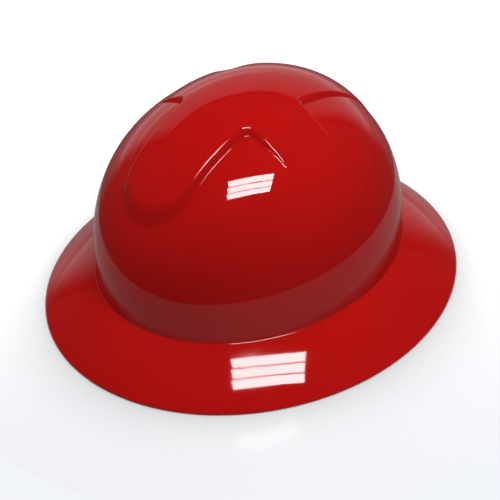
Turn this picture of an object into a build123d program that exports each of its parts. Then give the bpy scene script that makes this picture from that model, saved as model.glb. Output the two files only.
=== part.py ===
from build123d import *
import math
import os

os.makedirs("parts", exist_ok=True)

# Full brim hard hat, in millimetres. The origin is the middle of the plane that the brim
# rests on. The front is -Y, the wearer's left is +X and the top is +Z.

# Shell: the gaps are from the inside of the headband to the outside of the crown
crown_side_gap = 23.8
crown_end_gap = 16.8
brim_side_width = 40.0
brim_end_width = 38.2
crown_height = 120.8
brim_drop = 27.4
shell_wall = 2.4
brim_edge_height = 1.2
brim_rim_width = 2.6
brim_arch = 1.8
brim_root_radius = 2.8
crown_plan_power = 2.08
crown_side_power = 2.58
crown_profile_points = 12

# Raised cross on the crown
cross_rise = 4.9
cross_side_step = 7.6
cross_front_step = 2.7
cross_rear_step = 0.8
front_rib_half_width = 28.0
front_rib_tip_half_width = 26.4
rear_rib_half_width = 32.2
side_rib_front = 25.8
side_rib_rear = 19.6
side_rib_reach = 80.0
rear_rib_reach = 120.0
nose_set_back = 42.8
nose_length = 22.0
cross_corner_radius = 7.0

# Sockets in the shell for the suspension keys
key_direction = 40.5
socket_width = 26.0
socket_bottom = 30.0
socket_top = 46.0
socket_lip = 1.6
socket_roof = 2.0
pocket_offset = 2.9

# Suspension keys
blade_thickness = 2.2
blade_width = 20.0
blade_play = 0.2
key_width = 25.0
key_floor_bottom = 24.0
key_floor_thickness = 3.0
key_leg_thickness = 2.2
key_leg_bottom = 15.0
strap_bar_height = 2.5
strap_window_height = 3.0
strap_bar_level = 50.75
post_radius = 2.0
post_head_radius = 3.2
post_head_thickness = 1.3

# Webbing
webbing_width = 19.0
webbing_thickness = 1.2
webbing_play = 0.75
webbing_fold_length = 14.0
webbing_eye_radius = 1.9
crown_clearance = 33.9
webbing_gap = 0.4
webbing_seam_length = 16.0
webbing_tip_radius = 0.3
rivet_radius = 2.0
rivet_head_radius = 5.5
rivet_head_thickness = 1.4

# Headband
band_radius = 77.0
band_thickness = 2.0
band_height = 28.0
band_level = 24.0
front_arc_middle = 24.0
rear_arc_middle = 14.0
height_travel = 5.0
slide_play = 0.3
post_play = 0.2
boss_width = 14.0
sleeve_start_angle = 40.0
sleeve_end_angle = 88.0
sleeve_wall = 1.2

# Toothed straps that close the band
strap_thickness = 1.6
strap_height = 23.0
strap_end_angle = 70.0
strap_travel = 20.0
strap_tip_length = 3.5
gear_module = 1.0
gear_teeth = 12
gear_addendum_share = 0.8
gear_dedendum_share = 1.05
gear_pressure_angle = 25.0
gear_backlash = 0.25
gear_flank_points = 4
tooth_inset = 0.1

# Ratchet housing
housing_half_angle = 17.0
housing_height = 31.0
housing_wall = 1.6
cover_depth = 7.4
cover_corner_radius = 3.0
pilot_radius = 3.0
shaft_radius = 4.0
bearing_play = 0.05
click_ring_radius = 12.0
click_ring_depth = 3.0
click_teeth = 24
click_tooth_radius = 0.7
pawl_arm_width = 1.8
pawl_hub_radius = 6.0
pawl_tip_radius = 0.9
pawl_play = 0.2
knob_radius = 17.0
knob_depth = 7.7
knob_play = 0.3
knob_grips = 12
knob_grip_radius = 2.6
knob_grip_depth = 0.9
knob_socket_depth = 4.0
knob_edge_radius = 1.2
screw_radius = 1.5
screw_head_radius = 3.0
screw_head_height = 1.8
housing_screw_radius = 1.0
housing_screw_head_radius = 1.7
housing_screw_head_height = 1.2
housing_screw_angle = 13.0

# Pads
brow_pad_thickness = 5.0
brow_pad_height = 32.0
brow_pad_half_angle = 43.0
nape_pad_thickness = 6.0
nape_pad_height = 25.0
nape_pad_half_angle = 30.0
pad_play = 0.1
pad_edge_radius = 1.8

cut_overrun = 5.0


# Sizes, levels and radii that follow from the sizes above
crown_half_width = band_radius + crown_side_gap
crown_half_length = front_arc_middle + band_radius + crown_end_gap
brim_half_width = crown_half_width + brim_side_width
brim_half_length = crown_half_length + brim_end_width
cross_side_half_width = crown_half_width - cross_side_step
cross_front_half_length = crown_half_length + cross_front_step
cross_rear_half_length = crown_half_length - cross_rear_step
nose_middle = cross_front_half_length - nose_set_back
inner_half_width = crown_half_width - shell_wall
inner_half_length = crown_half_length - shell_wall
brim_slope = (brim_drop - brim_edge_height) / (brim_half_length - crown_half_length)
root_level = brim_slope * (brim_half_length - brim_rim_width - inner_half_length)
socket_depth = blade_thickness + 2 * blade_play
blade_top = socket_top - socket_roof - blade_play
bar_bottom = strap_bar_level - strap_bar_height / 2
band_bottom = band_level - band_height / 2
left_strap_radius = band_radius + sleeve_wall + slide_play
right_strap_radius = left_strap_radius + strap_thickness + slide_play
channel_end_radius = right_strap_radius + strap_thickness + slide_play
channel_height = strap_height + 2 * slide_play
base_radius = left_strap_radius - slide_play - housing_wall
cover_radius = channel_end_radius + slide_play
cover_face_radius = cover_radius + cover_depth
pitch_radius = gear_module * gear_teeth / 2
gear_tip_radius = pitch_radius + gear_module * gear_addendum_share
gear_root_radius = pitch_radius - gear_module * gear_dedendum_share
webbing_bottom = brim_drop + crown_height - shell_wall - crown_clearance
webbing_layer = webbing_thickness + webbing_gap
webbing_top = webbing_bottom + 3 * webbing_thickness + 2 * webbing_gap


# How far from the hat's middle a direction leaves the band's front arc of a given radius,
# and how much that arc is turned there
def band_reach(radius, direction):
    along = front_arc_middle * math.cos(math.radians(direction))
    across = front_arc_middle * math.sin(math.radians(direction))
    return along + math.sqrt(radius ** 2 - across ** 2)


def band_skew(radius, direction):
    across = front_arc_middle * math.sin(math.radians(direction))
    return math.tan(math.asin(across / radius))


outer_band_radius = band_radius + band_thickness
boss_face = (band_reach(outer_band_radius, key_direction)
             + boss_width / 2 * band_skew(outer_band_radius, key_direction))
diagonal_leg_radius = boss_face + slide_play
side_leg_radius = outer_band_radius + slide_play
front_head_radius = (band_reach(band_radius, key_direction) - slide_play
                     - post_head_radius * band_skew(band_radius, key_direction))
side_head_radius = band_radius - slide_play


# Crown: a superellipse turned about the upright axis, then lengthened along the hat
def crown_dome(half_width, half_length, height, sweep=360, foot=0):
    def profile_point(turn):
        rise = math.sin(turn) ** (2 / crown_side_power)
        reach = math.cos(turn) ** (2 / crown_plan_power)
        return (half_width * reach, brim_drop + height * rise)

    turns = [math.pi / 2 * step / crown_profile_points for step in range(crown_profile_points)]
    points = [profile_point(turn) for turn in turns] + [(0, brim_drop + height)]
    with BuildPart() as dome:
        with BuildSketch(Plane.XZ):
            with BuildLine():
                Spline(points, tangents=[(0, 1), (-1, 0)])
                Line((0, brim_drop + height), (0, brim_drop - foot))
                Line((0, brim_drop - foot), (half_width, brim_drop - foot))
                if foot:
                    Line((half_width, brim_drop - foot), (half_width, brim_drop))
            make_face()
        revolve(axis=Axis.Z, revolution_arc=sweep)
        scale(by=(1, half_length / half_width, 1))
    return dome.part


# Raised cross: flatter domes that meet the crown at the ends of the side and rear ribs,
# cut to the cross's plan
def raised_cross(inset):
    height = crown_height + cross_rise - inset
    side = cross_side_half_width - inset
    with BuildPart() as cross:
        with BuildSketch(Plane.XY.offset(brim_drop)) as plan:
            Polygon(
                (-front_rib_half_width + inset, 0),
                (-front_rib_half_width + inset, -side_rib_front + inset),
                (-front_rib_tip_half_width + inset, -nose_middle),
                (front_rib_tip_half_width - inset, -nose_middle),
                (front_rib_half_width - inset, -side_rib_front + inset),
                (front_rib_half_width - inset, 0),
                align=None)
            with Locations((0, -nose_middle)):
                Ellipse(front_rib_tip_half_width - inset, nose_length - inset)
            with Locations((0, (side_rib_rear - side_rib_front) / 2)):
                Rectangle(2 * side_rib_reach, side_rib_front + side_rib_rear - 2 * inset)
            with Locations((0, rear_rib_reach / 2)):
                Rectangle(2 * rear_rib_half_width - 2 * inset, rear_rib_reach)
            inner_corners = [corner for corner in plan.vertices()
                             if abs(corner.X) < side_rib_reach
                             and -nose_middle < corner.Y < rear_rib_reach]
            fillet(inner_corners, cross_corner_radius + inset)
        extrude(amount=crown_height + cross_rise + cut_overrun)
        with BuildPart(mode=Mode.PRIVATE) as domes:
            add(crown_dome(side, cross_front_half_length - inset, height, 180))
            mirror(about=Plane.XZ, mode=Mode.REPLACE)
            add(crown_dome(side, cross_rear_half_length - inset, height, 180))
        add(domes.part, mode=Mode.INTERSECT)
    return cross.part



# Brim: a sloping ring that drops from the crown's foot to the plane the hat rests on
def brim_cone(edge_width, edge_length, edge_level, root_width, root_length, root_level):
    with BuildPart() as cone:
        middle = ((edge_width + root_width) / 2, (edge_length + root_length) / 2)
        middle_level = (edge_level + root_level) / 2 + brim_arch
        with BuildSketch(Plane.XY.offset(edge_level)):
            Ellipse(edge_width, edge_length)
        with BuildSketch(Plane.XY.offset(middle_level)):
            Ellipse(middle[0], middle[1])
        with BuildSketch(Plane.XY.offset(root_level)):
            Ellipse(root_width, root_length)
        loft()
    return cone.part


# The radius of the crown's inner wall along a direction measured from the front or the rear
def inner_crown_radius(direction):
    across = math.sin(math.radians(direction)) / inner_half_width
    along = math.cos(math.radians(direction)) / inner_half_length
    return 1 / math.hypot(across, along)


# Each key's turn about the upright axis, its direction from the front or rear, the distance
# of its leg from the hat's middle and the face of its post's head, where it has a post
keys = {
    "key_front_left": (key_direction - 90, key_direction, diagonal_leg_radius, front_head_radius),
    "key_front_right": (-90 - key_direction, key_direction, diagonal_leg_radius, front_head_radius),
    "key_side_left": (0, 90, side_leg_radius, side_head_radius),
    "key_side_right": (180, 90, side_leg_radius, side_head_radius),
    "key_rear_left": (90 - key_direction, key_direction, diagonal_leg_radius, None),
    "key_rear_right": (90 + key_direction, key_direction, diagonal_leg_radius, None),
}


# A block on the plane of a key, from one distance to another and from one level to another
def radial_block(turn, near, far, width, bottom, top):
    with BuildPart(Plane.XY.rotated((0, 0, turn))) as block:
        with Locations(((near + far) / 2, 0, (bottom + top) / 2)):
            Box(far - near, width, top - bottom)
    return block.part


# A round rod on the plane of a key, lying along the key's direction
def radial_rod(turn, near, far, radius, level):
    with BuildPart(Plane.XY.rotated((0, 0, turn))) as rod:
        with Locations(((near + far) / 2, 0, level)):
            Cylinder(radius, far - near, rotation=(0, 90, 0))
    return rod.part


# A closed piece of a ring about the upright axis, between two angles from the wearer's left
def arc_band(near, far, start, end):
    with BuildSketch() as band:
        with BuildLine():
            inner = CenterArc((0, 0), near, start, end - start)
            outer = CenterArc((0, 0), far, start, end - start)
            Line(inner @ 0, outer @ 0)
            Line(inner @ 1, outer @ 1)
        make_face()
    return band.sketch


# Shell: crown, raised cross and brim in one wall, with a socket for each key
with BuildPart() as sockets:
    for turn, direction, leg_radius, head_radius in keys.values():
        wall = inner_crown_radius(direction)
        add(radial_block(turn, wall - pocket_offset - socket_depth - socket_lip, wall + shell_wall,
                         socket_width, socket_bottom, socket_top))
    add(crown_dome(crown_half_width - shell_wall / 2, crown_half_length - shell_wall / 2,
                   crown_height), mode=Mode.INTERSECT)

with BuildPart() as shell:
    with BuildSketch():
        Ellipse(brim_half_width, brim_half_length)
    extrude(amount=brim_edge_height)
    add(brim_cone(brim_half_width, brim_half_length, brim_edge_height,
                  crown_half_width, crown_half_length, brim_drop))
    add(crown_dome(crown_half_width, crown_half_length, crown_height))
    root_edges = [edge for edge in shell.edges()
                  if abs(edge.bounding_box().min.Z - brim_drop) < brim_edge_height / 2
                  and edge.bounding_box().size.Z < brim_edge_height / 2]
    fillet(root_edges, brim_root_radius)
    add(raised_cross(0))
    add(crown_dome(inner_half_width, inner_half_length, crown_height - shell_wall,
                   foot=brim_drop - root_level), mode=Mode.SUBTRACT)
    add(raised_cross(shell_wall), mode=Mode.SUBTRACT)
    add(brim_cone(brim_half_width - brim_rim_width, brim_half_length - brim_rim_width, 0,
                  inner_half_width, inner_half_length, root_level), mode=Mode.SUBTRACT)
    add(sockets.part)
    for turn, direction, leg_radius, head_radius in keys.values():
        wall = inner_crown_radius(direction)
        add(radial_block(turn, wall - pocket_offset - socket_depth, wall - pocket_offset,
                         blade_width + 2 * blade_play, socket_bottom, socket_top - socket_roof),
            mode=Mode.SUBTRACT)
shell.part.label = "shell"
export_step(shell.part, "parts/shell.step")

# Suspension keys: a blade in the shell's socket, a floor, and a leg with a bar for the
# webbing and, on the front and side keys, a headed post for the headband
for name, (turn, direction, leg_radius, head_radius) in keys.items():
    blade_face = inner_crown_radius(direction) - pocket_offset - blade_play
    leg_face = leg_radius + key_leg_thickness
    leg_bottom = key_leg_bottom if head_radius else key_floor_bottom
    with BuildPart() as key:
        add(radial_block(turn, leg_radius, blade_face, key_width,
                         key_floor_bottom, key_floor_bottom + key_floor_thickness))
        add(radial_block(turn, blade_face - blade_thickness, blade_face, blade_width,
                         key_floor_bottom, blade_top))
        add(radial_block(turn, leg_radius, leg_face, key_width,
                         leg_bottom, strap_bar_level + strap_bar_height / 2))
        add(radial_block(turn, leg_radius, leg_face, webbing_width + 2 * webbing_play,
                         bar_bottom - strap_window_height, bar_bottom), mode=Mode.SUBTRACT)
        if head_radius:
            add(radial_rod(turn, head_radius, leg_radius, post_radius, band_level))
            add(radial_rod(turn, head_radius - post_head_thickness, head_radius,
                           post_head_radius, band_level))
    key.part.label = name
    export_step(key.part, "parts/" + name + ".step")

# Webbing: three straps over the head, each sewn into an eye round a key's bar at both ends
webbings = {
    "webbing_side": (0, side_leg_radius, 0),
    "webbing_front_left": (key_direction - 90, diagonal_leg_radius, 1),
    "webbing_front_right": (-90 - key_direction, diagonal_leg_radius, 2),
}


# The outline of an eye from a circle round the bar to the seam above it
def eye_outline(bar, bar_circle, seam, seam_circle):
    with BuildSketch() as outline:
        with Locations(bar):
            Circle(bar_circle)
        with Locations(seam):
            Circle(seam_circle)
        make_hull()
    return outline.sketch


# A layer of webbing outside an ellipse, between two heights above the bars
def webbing_arc(reach, rise, low, high):
    with BuildSketch() as arc:
        Ellipse(reach + webbing_thickness, rise + webbing_thickness)
        Ellipse(reach, rise, mode=Mode.SUBTRACT)
        with Locations((0, (low + high) / 2)):
            Rectangle(2 * reach + 4 * webbing_thickness, high - low, mode=Mode.INTERSECT)
    return arc.sketch


for name, (turn, leg_radius, layer) in webbings.items():
    bar_reach = leg_radius + key_leg_thickness / 2
    inner_reach = bar_reach - webbing_thickness / 2
    inner_rise = webbing_bottom + layer * webbing_layer - strap_bar_level
    outer_reach = inner_reach + webbing_thickness
    outer_rise = inner_rise + webbing_thickness
    seam_reach = outer_reach * math.sqrt(1 - (webbing_fold_length / outer_rise) ** 2)
    along = (math.cos(math.radians(turn)), math.sin(math.radians(turn)), 0)
    across = (math.sin(math.radians(turn)), -math.cos(math.radians(turn)), 0)
    with BuildPart() as webbing:
        with BuildSketch(Plane(origin=(0, 0, strap_bar_level), x_dir=along, z_dir=across)):
            add(webbing_arc(inner_reach, inner_rise, webbing_fold_length,
                            outer_rise + webbing_thickness))
            add(webbing_arc(outer_reach, outer_rise, webbing_fold_length,
                            webbing_fold_length + webbing_seam_length))
            for end in (1, -1):
                add(eye_outline((end * bar_reach, 0), webbing_eye_radius + webbing_thickness,
                                (end * seam_reach, webbing_fold_length), webbing_thickness))
                add(eye_outline((end * bar_reach, 0), webbing_eye_radius,
                                (end * seam_reach, webbing_fold_length - 2 * webbing_thickness),
                                webbing_tip_radius), mode=Mode.SUBTRACT)
        extrude(amount=webbing_width / 2, both=True)
        with BuildSketch(Plane.XY.offset(webbing_bottom)):
            Circle(rivet_radius + bearing_play)
        extrude(amount=webbing_top - webbing_bottom, both=True, mode=Mode.SUBTRACT)
    webbing.part.label = name
    export_step(webbing.part, "parts/" + name + ".step")

# Rivet that holds the three straps where they cross
webbing_sag = ((webbing_bottom - strap_bar_level) / 2
               * (rivet_head_radius / (side_leg_radius - key_leg_thickness)) ** 2)
rivet_bottom = webbing_bottom - webbing_sag
with BuildPart() as crown_rivet:
    with BuildSketch(Plane.XY.offset(rivet_bottom - rivet_head_thickness)):
        Circle(rivet_head_radius)
    extrude(amount=rivet_head_thickness)
    with BuildSketch(Plane.XY.offset(rivet_bottom)):
        Circle(rivet_radius)
    extrude(amount=webbing_top - rivet_bottom)
    with BuildSketch(Plane.XY.offset(webbing_top)):
        Circle(rivet_head_radius)
    extrude(amount=rivet_head_thickness)
crown_rivet.part.label = "crown_rivet"
export_step(crown_rivet.part, "parts/crown_rivet.step")


# The rear half of the band lies round an upright axis, and the ratchet's parts turn about a
# level axis that crosses it
def rear_plane(level):
    return Plane.XY.move(Location((0, rear_arc_middle, level)))


ratchet_plane = Plane(origin=(0, rear_arc_middle, band_level), x_dir=(-1, 0, 0), z_dir=(0, 1, 0))
channel_bottom = band_level - channel_height / 2
screw_reach = channel_end_radius * math.sin(math.radians(housing_screw_angle))
screw_level = (channel_height + housing_height) / 4

# Headband: a band round the front and sides, with a boss and a slot for each post and a
# sleeve at each rear end
sleeves = {1: left_strap_radius, -1: right_strap_radius}
with BuildPart() as headband:
    with BuildSketch(Plane.XY.offset(band_bottom)):
        with Locations((0, (rear_arc_middle - front_arc_middle) / 2)):
            SlotCenterToCenter(front_arc_middle + rear_arc_middle, 2 * outer_band_radius,
                               rotation=90)
    extrude(amount=band_height)
    for name, (turn, direction, leg_radius, head_radius) in keys.items():
        if head_radius == front_head_radius:
            add(radial_block(turn, outer_band_radius, boss_face, boss_width,
                             band_bottom, band_bottom + band_height))
    with BuildSketch(Plane.XY.offset(band_bottom)):
        with Locations((0, (rear_arc_middle - front_arc_middle) / 2)):
            SlotCenterToCenter(front_arc_middle + rear_arc_middle, 2 * band_radius, rotation=90)
        with Locations((0, rear_arc_middle + outer_band_radius / 2)):
            Rectangle(2 * outer_band_radius, outer_band_radius)
    extrude(amount=band_height, mode=Mode.SUBTRACT)
    for side, strap_radius in sleeves.items():
        outside = strap_radius + strap_thickness + slide_play
        with BuildSketch(rear_plane(band_bottom)):
            ends = sorted((90 - side * 90, 90 - side * sleeve_start_angle))
            add(arc_band(band_radius, outside + sleeve_wall, ends[0], ends[1]))
        extrude(amount=band_height)
        with BuildSketch(rear_plane(channel_bottom)):
            ends = sorted((90 - side * sleeve_end_angle, 90))
            add(arc_band(strap_radius - slide_play, outside, ends[0], ends[1]))
        extrude(amount=channel_height, mode=Mode.SUBTRACT)
    for name, (turn, direction, leg_radius, head_radius) in keys.items():
        if head_radius:
            half = post_radius + post_play
            near = head_radius - post_head_thickness
            add(radial_block(turn, near, leg_radius, 2 * half,
                             band_level - height_travel, band_level + height_travel),
                mode=Mode.SUBTRACT)
            for end in (-1, 1):
                add(radial_rod(turn, near, leg_radius, half, band_level + end * height_travel),
                    mode=Mode.SUBTRACT)
headband.part.label = "headband"
export_step(headband.part, "parts/headband.step")

# Closing straps: curved straps that overlap at the rear, each with a slot toothed on one
# edge, so that the gear draws both in together
tooth_half_width = math.pi * gear_module / 4 - gear_backlash / 2
tooth_slope = math.tan(math.radians(gear_pressure_angle))
tooth_tip = pitch_radius - gear_module * gear_addendum_share
tooth_root = pitch_radius + gear_module * gear_dedendum_share
tip_half_width = tooth_half_width - gear_module * gear_addendum_share * tooth_slope
root_half_width = tooth_half_width + gear_module * gear_dedendum_share * tooth_slope
slot_free_edge = gear_tip_radius + slide_play
for side, strap_radius in sleeves.items():
    middle = strap_radius + strap_thickness / 2
    slot_half_angle = math.degrees((strap_travel + gear_tip_radius + slide_play) / middle)
    tip_angle = slot_half_angle + math.degrees(strap_tip_length / middle)
    tooth_angle = math.degrees(math.pi * gear_module / middle)
    tooth_pairs = int(slot_half_angle / tooth_angle)
    low = slot_free_edge if side > 0 else tooth_root
    high = tooth_root if side > 0 else slot_free_edge
    with BuildPart() as strap:
        with BuildSketch(rear_plane(band_level - strap_height / 2)):
            ends = sorted((90 - side * strap_end_angle, 90 + side * tip_angle))
            add(arc_band(strap_radius, strap_radius + strap_thickness, ends[0], ends[1]))
        extrude(amount=strap_height)
        with BuildSketch(rear_plane(band_level - low)):
            add(arc_band(strap_radius - slide_play, strap_radius + strap_thickness + slide_play,
                         90 - slot_half_angle, 90 + slot_half_angle))
        extrude(amount=low + high, mode=Mode.SUBTRACT)
        for index in range(-tooth_pairs, tooth_pairs):
            turn = math.radians((index + 1 / 2) * tooth_angle)
            tooth_plane = Plane(origin=(0, rear_arc_middle, band_level),
                                x_dir=(-math.cos(turn), math.sin(turn), 0),
                                z_dir=(math.sin(turn), math.cos(turn), 0))
            with BuildSketch(tooth_plane.offset(strap_radius + tooth_inset)):
                Polygon((-tip_half_width, side * tooth_tip),
                        (tip_half_width, side * tooth_tip),
                        (root_half_width, side * tooth_root),
                        (root_half_width, side * (tooth_root + tooth_inset)),
                        (-root_half_width, side * (tooth_root + tooth_inset)),
                        (-root_half_width, side * tooth_root), align=None)
        extrude(amount=strap_thickness - 2 * tooth_inset)
    strap.part.label = "closing_strap_left" if side > 0 else "closing_strap_right"
    export_step(strap.part, "parts/" + strap.part.label + ".step")

# Gear: involute teeth on a shaft that goes through the cover to the knob
base_circle_radius = pitch_radius * math.cos(math.radians(gear_pressure_angle))


def involute(turn):
    return math.tan(turn) - turn


def flank_angle(radius):
    contact = math.acos(min(1, base_circle_radius / radius))
    return (math.pi / (2 * gear_teeth) + involute(math.radians(gear_pressure_angle))
            - involute(contact))


flank_radii = [base_circle_radius + (gear_tip_radius - base_circle_radius) * step
               / (gear_flank_points - 1) for step in range(gear_flank_points)]
flank = [(radius * math.cos(flank_angle(radius)), radius * math.sin(flank_angle(radius)))
         for radius in [gear_root_radius - tooth_inset] + flank_radii]
gear_start = left_strap_radius - slide_play / 2
gear_end = channel_end_radius - slide_play / 2
knob_start = cover_face_radius + knob_play
knob_end = knob_start + knob_depth
shaft_end = knob_start + knob_socket_depth
screw_head_start = knob_end - screw_head_height
screw_end = cover_face_radius - click_ring_depth
with BuildPart() as pinion_gear:
    with BuildSketch(ratchet_plane.offset(gear_start)):
        Circle(gear_root_radius)
        with PolarLocations(0, gear_teeth):
            Polygon(*flank, *[(x, -y) for x, y in reversed(flank)], align=None)
    extrude(amount=gear_end - gear_start)
    with BuildSketch(ratchet_plane.offset(base_radius + tooth_inset)):
        Circle(pilot_radius)
    extrude(amount=gear_start - base_radius - tooth_inset)
    with BuildSketch(ratchet_plane.offset(gear_end)):
        Circle(shaft_radius)
    extrude(amount=shaft_end - gear_end)
    with BuildSketch(ratchet_plane.offset(screw_end)):
        Circle(screw_radius)
    extrude(amount=shaft_end - screw_end, mode=Mode.SUBTRACT)
pinion_gear.part.label = "pinion_gear"
export_step(pinion_gear.part, "parts/pinion_gear.step")

# Ratchet base: the inner half of the housing, with the channel that the straps slide in
with BuildPart() as ratchet_base:
    with BuildSketch(rear_plane(band_level - housing_height / 2)):
        add(arc_band(base_radius, channel_end_radius,
                     90 - housing_half_angle, 90 + housing_half_angle))
    extrude(amount=housing_height)
    with BuildSketch(rear_plane(channel_bottom)):
        add(arc_band(left_strap_radius - slide_play, cover_radius,
                     90 - 2 * housing_half_angle, 90 + 2 * housing_half_angle))
    extrude(amount=channel_height, mode=Mode.SUBTRACT)
    with BuildSketch(ratchet_plane.offset(base_radius - housing_wall)):
        Circle(pilot_radius + bearing_play)
    extrude(amount=gear_end - base_radius, mode=Mode.SUBTRACT)
    with BuildSketch(ratchet_plane.offset(base_radius - housing_wall)):
        with GridLocations(2 * screw_reach, 2 * screw_level, 2, 2):
            Circle(housing_screw_radius)
    extrude(amount=cover_radius - base_radius + housing_wall, mode=Mode.SUBTRACT)
ratchet_base.part.label = "ratchet_base"
export_step(ratchet_base.part, "parts/ratchet_base.step")

# Ratchet cover: the outer half, with a flat face, a bore for the shaft and a ring of stops
cover_half_width = cover_radius * math.sin(math.radians(housing_half_angle))
cover_start = cover_radius * math.cos(math.radians(housing_half_angle))
with BuildPart() as ratchet_cover:
    with BuildSketch(rear_plane(band_level - housing_height / 2)):
        with Locations((0, (cover_start + cover_face_radius) / 2)):
            Rectangle(2 * cover_half_width, cover_face_radius - cover_start)
        Circle(cover_radius, mode=Mode.SUBTRACT)
    extrude(amount=housing_height)
    outer_corners = ratchet_cover.edges().filter_by(Axis.Z).group_by(Axis.Y)[-1]
    fillet(outer_corners, cover_corner_radius)
    with BuildSketch(ratchet_plane.offset(cover_face_radius - click_ring_depth)):
        Circle(click_ring_radius)
    extrude(amount=click_ring_depth, mode=Mode.SUBTRACT)
    with BuildSketch(ratchet_plane.offset(cover_face_radius - click_ring_depth)):
        with PolarLocations(click_ring_radius, click_teeth):
            Circle(click_tooth_radius)
    extrude(amount=click_ring_depth)
    with BuildSketch(ratchet_plane.offset(gear_end - slide_play)):
        Circle(shaft_radius + bearing_play)
    extrude(amount=cover_face_radius - gear_end + slide_play, mode=Mode.SUBTRACT)
    with BuildSketch(ratchet_plane.offset(base_radius)):
        with GridLocations(2 * screw_reach, 2 * screw_level, 2, 2):
            Circle(housing_screw_radius)
    extrude(amount=cover_face_radius - base_radius, mode=Mode.SUBTRACT)
    with BuildSketch(ratchet_plane.offset(cover_face_radius - housing_screw_head_height)):
        with GridLocations(2 * screw_reach, 2 * screw_level, 2, 2):
            Circle(housing_screw_head_radius)
    extrude(amount=housing_screw_head_height, mode=Mode.SUBTRACT)
ratchet_cover.part.label = "ratchet_cover"
export_step(ratchet_cover.part, "parts/ratchet_cover.step")

# Four screws through the cover into the base
with BuildPart() as housing_screws:
    with BuildSketch(ratchet_plane.offset(base_radius + housing_wall)):
        with GridLocations(2 * screw_reach, 2 * screw_level, 2, 2):
            Circle(housing_screw_radius)
    extrude(amount=cover_face_radius - base_radius - housing_wall)
    with BuildSketch(ratchet_plane.offset(cover_face_radius - housing_screw_head_height)):
        with GridLocations(2 * screw_reach, 2 * screw_level, 2, 2):
            Circle(housing_screw_head_radius)
    extrude(amount=housing_screw_head_height)
housing_screws.part.label = "housing_screws"
export_step(housing_screws.part, "parts/housing_screws.step")

# Click spring: a plate on the shaft with two arms whose tips run inside the ring of stops
pawl_reach = click_ring_radius - click_tooth_radius - pawl_play - pawl_tip_radius
with BuildPart() as click_spring:
    with BuildSketch(ratchet_plane.offset(cover_face_radius - click_ring_depth + slide_play)):
        Circle(pawl_hub_radius)
        Rectangle(2 * pawl_reach, pawl_arm_width)
        with PolarLocations(pawl_reach, 2):
            Circle(pawl_tip_radius)
        Circle(shaft_radius, mode=Mode.SUBTRACT)
    extrude(amount=click_ring_depth - 2 * slide_play)
click_spring.part.label = "click_spring"
export_step(click_spring.part, "parts/click_spring.step")

# Knob
with BuildPart() as knob:
    with BuildSketch(ratchet_plane.offset(knob_start)):
        Circle(knob_radius)
        with PolarLocations(knob_radius + knob_grip_radius - knob_grip_depth, knob_grips):
            Circle(knob_grip_radius, mode=Mode.SUBTRACT)
    extrude(amount=knob_depth)
    rim = knob.faces().sort_by(Axis.Y)[-1].edges()
    fillet(rim, knob_edge_radius)
    with BuildSketch(ratchet_plane.offset(knob_start)):
        Circle(shaft_radius)
    extrude(amount=knob_socket_depth, mode=Mode.SUBTRACT)
    with BuildSketch(ratchet_plane.offset(knob_start)):
        Circle(screw_radius)
    extrude(amount=knob_depth, mode=Mode.SUBTRACT)
    with BuildSketch(ratchet_plane.offset(screw_head_start)):
        Circle(screw_head_radius)
    extrude(amount=screw_head_height, mode=Mode.SUBTRACT)
knob.part.label = "knob"
export_step(knob.part, "parts/knob.step")

# Screw that holds the knob on the shaft
with BuildPart() as knob_screw:
    with BuildSketch(ratchet_plane.offset(screw_end)):
        Circle(screw_radius)
    extrude(amount=screw_head_start - screw_end)
    with BuildSketch(ratchet_plane.offset(screw_head_start)):
        Circle(screw_head_radius)
    extrude(amount=screw_head_height)
knob_screw.part.label = "knob_screw"
export_step(knob_screw.part, "parts/knob_screw.step")

# Pads: one against the brow inside the band and one against the nape inside the ratchet base
with BuildPart() as brow_pad:
    with BuildSketch(Plane.XY.move(Location((0, -front_arc_middle,
                                             band_level - brow_pad_height / 2)))):
        add(arc_band(band_radius - pad_play - brow_pad_thickness, band_radius - pad_play,
                     -90 - brow_pad_half_angle, -90 + brow_pad_half_angle))
    extrude(amount=brow_pad_height)
    fillet(brow_pad.edges(), pad_edge_radius)
brow_pad.part.label = "brow_pad"
export_step(brow_pad.part, "parts/brow_pad.step")

with BuildPart() as nape_pad:
    with BuildSketch(rear_plane(band_level - nape_pad_height / 2)):
        add(arc_band(base_radius - pad_play - nape_pad_thickness, base_radius - pad_play,
                     90 - nape_pad_half_angle, 90 + nape_pad_half_angle))
    extrude(amount=nape_pad_height)
    fillet(nape_pad.edges(), pad_edge_radius)
nape_pad.part.label = "nape_pad"
export_step(nape_pad.part, "parts/nape_pad.step")
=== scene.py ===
import math

import bpy
import numpy as np
from mathutils import Matrix, Vector
from mathutils.bvhtree import BVHTree
from mathutils.geometry import delaunay_2d_cdt


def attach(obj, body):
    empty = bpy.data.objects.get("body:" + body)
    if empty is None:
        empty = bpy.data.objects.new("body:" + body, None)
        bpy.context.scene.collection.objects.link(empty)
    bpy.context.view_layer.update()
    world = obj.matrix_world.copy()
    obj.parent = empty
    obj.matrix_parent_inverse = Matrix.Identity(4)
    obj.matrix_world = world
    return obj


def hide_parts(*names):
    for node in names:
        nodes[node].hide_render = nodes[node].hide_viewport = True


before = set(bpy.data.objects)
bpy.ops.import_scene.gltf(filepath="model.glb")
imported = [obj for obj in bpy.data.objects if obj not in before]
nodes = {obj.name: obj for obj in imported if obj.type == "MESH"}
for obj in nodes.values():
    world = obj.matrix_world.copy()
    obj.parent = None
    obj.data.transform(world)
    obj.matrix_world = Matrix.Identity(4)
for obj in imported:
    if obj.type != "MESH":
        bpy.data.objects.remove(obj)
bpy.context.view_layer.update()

mm = 0.001

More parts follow.
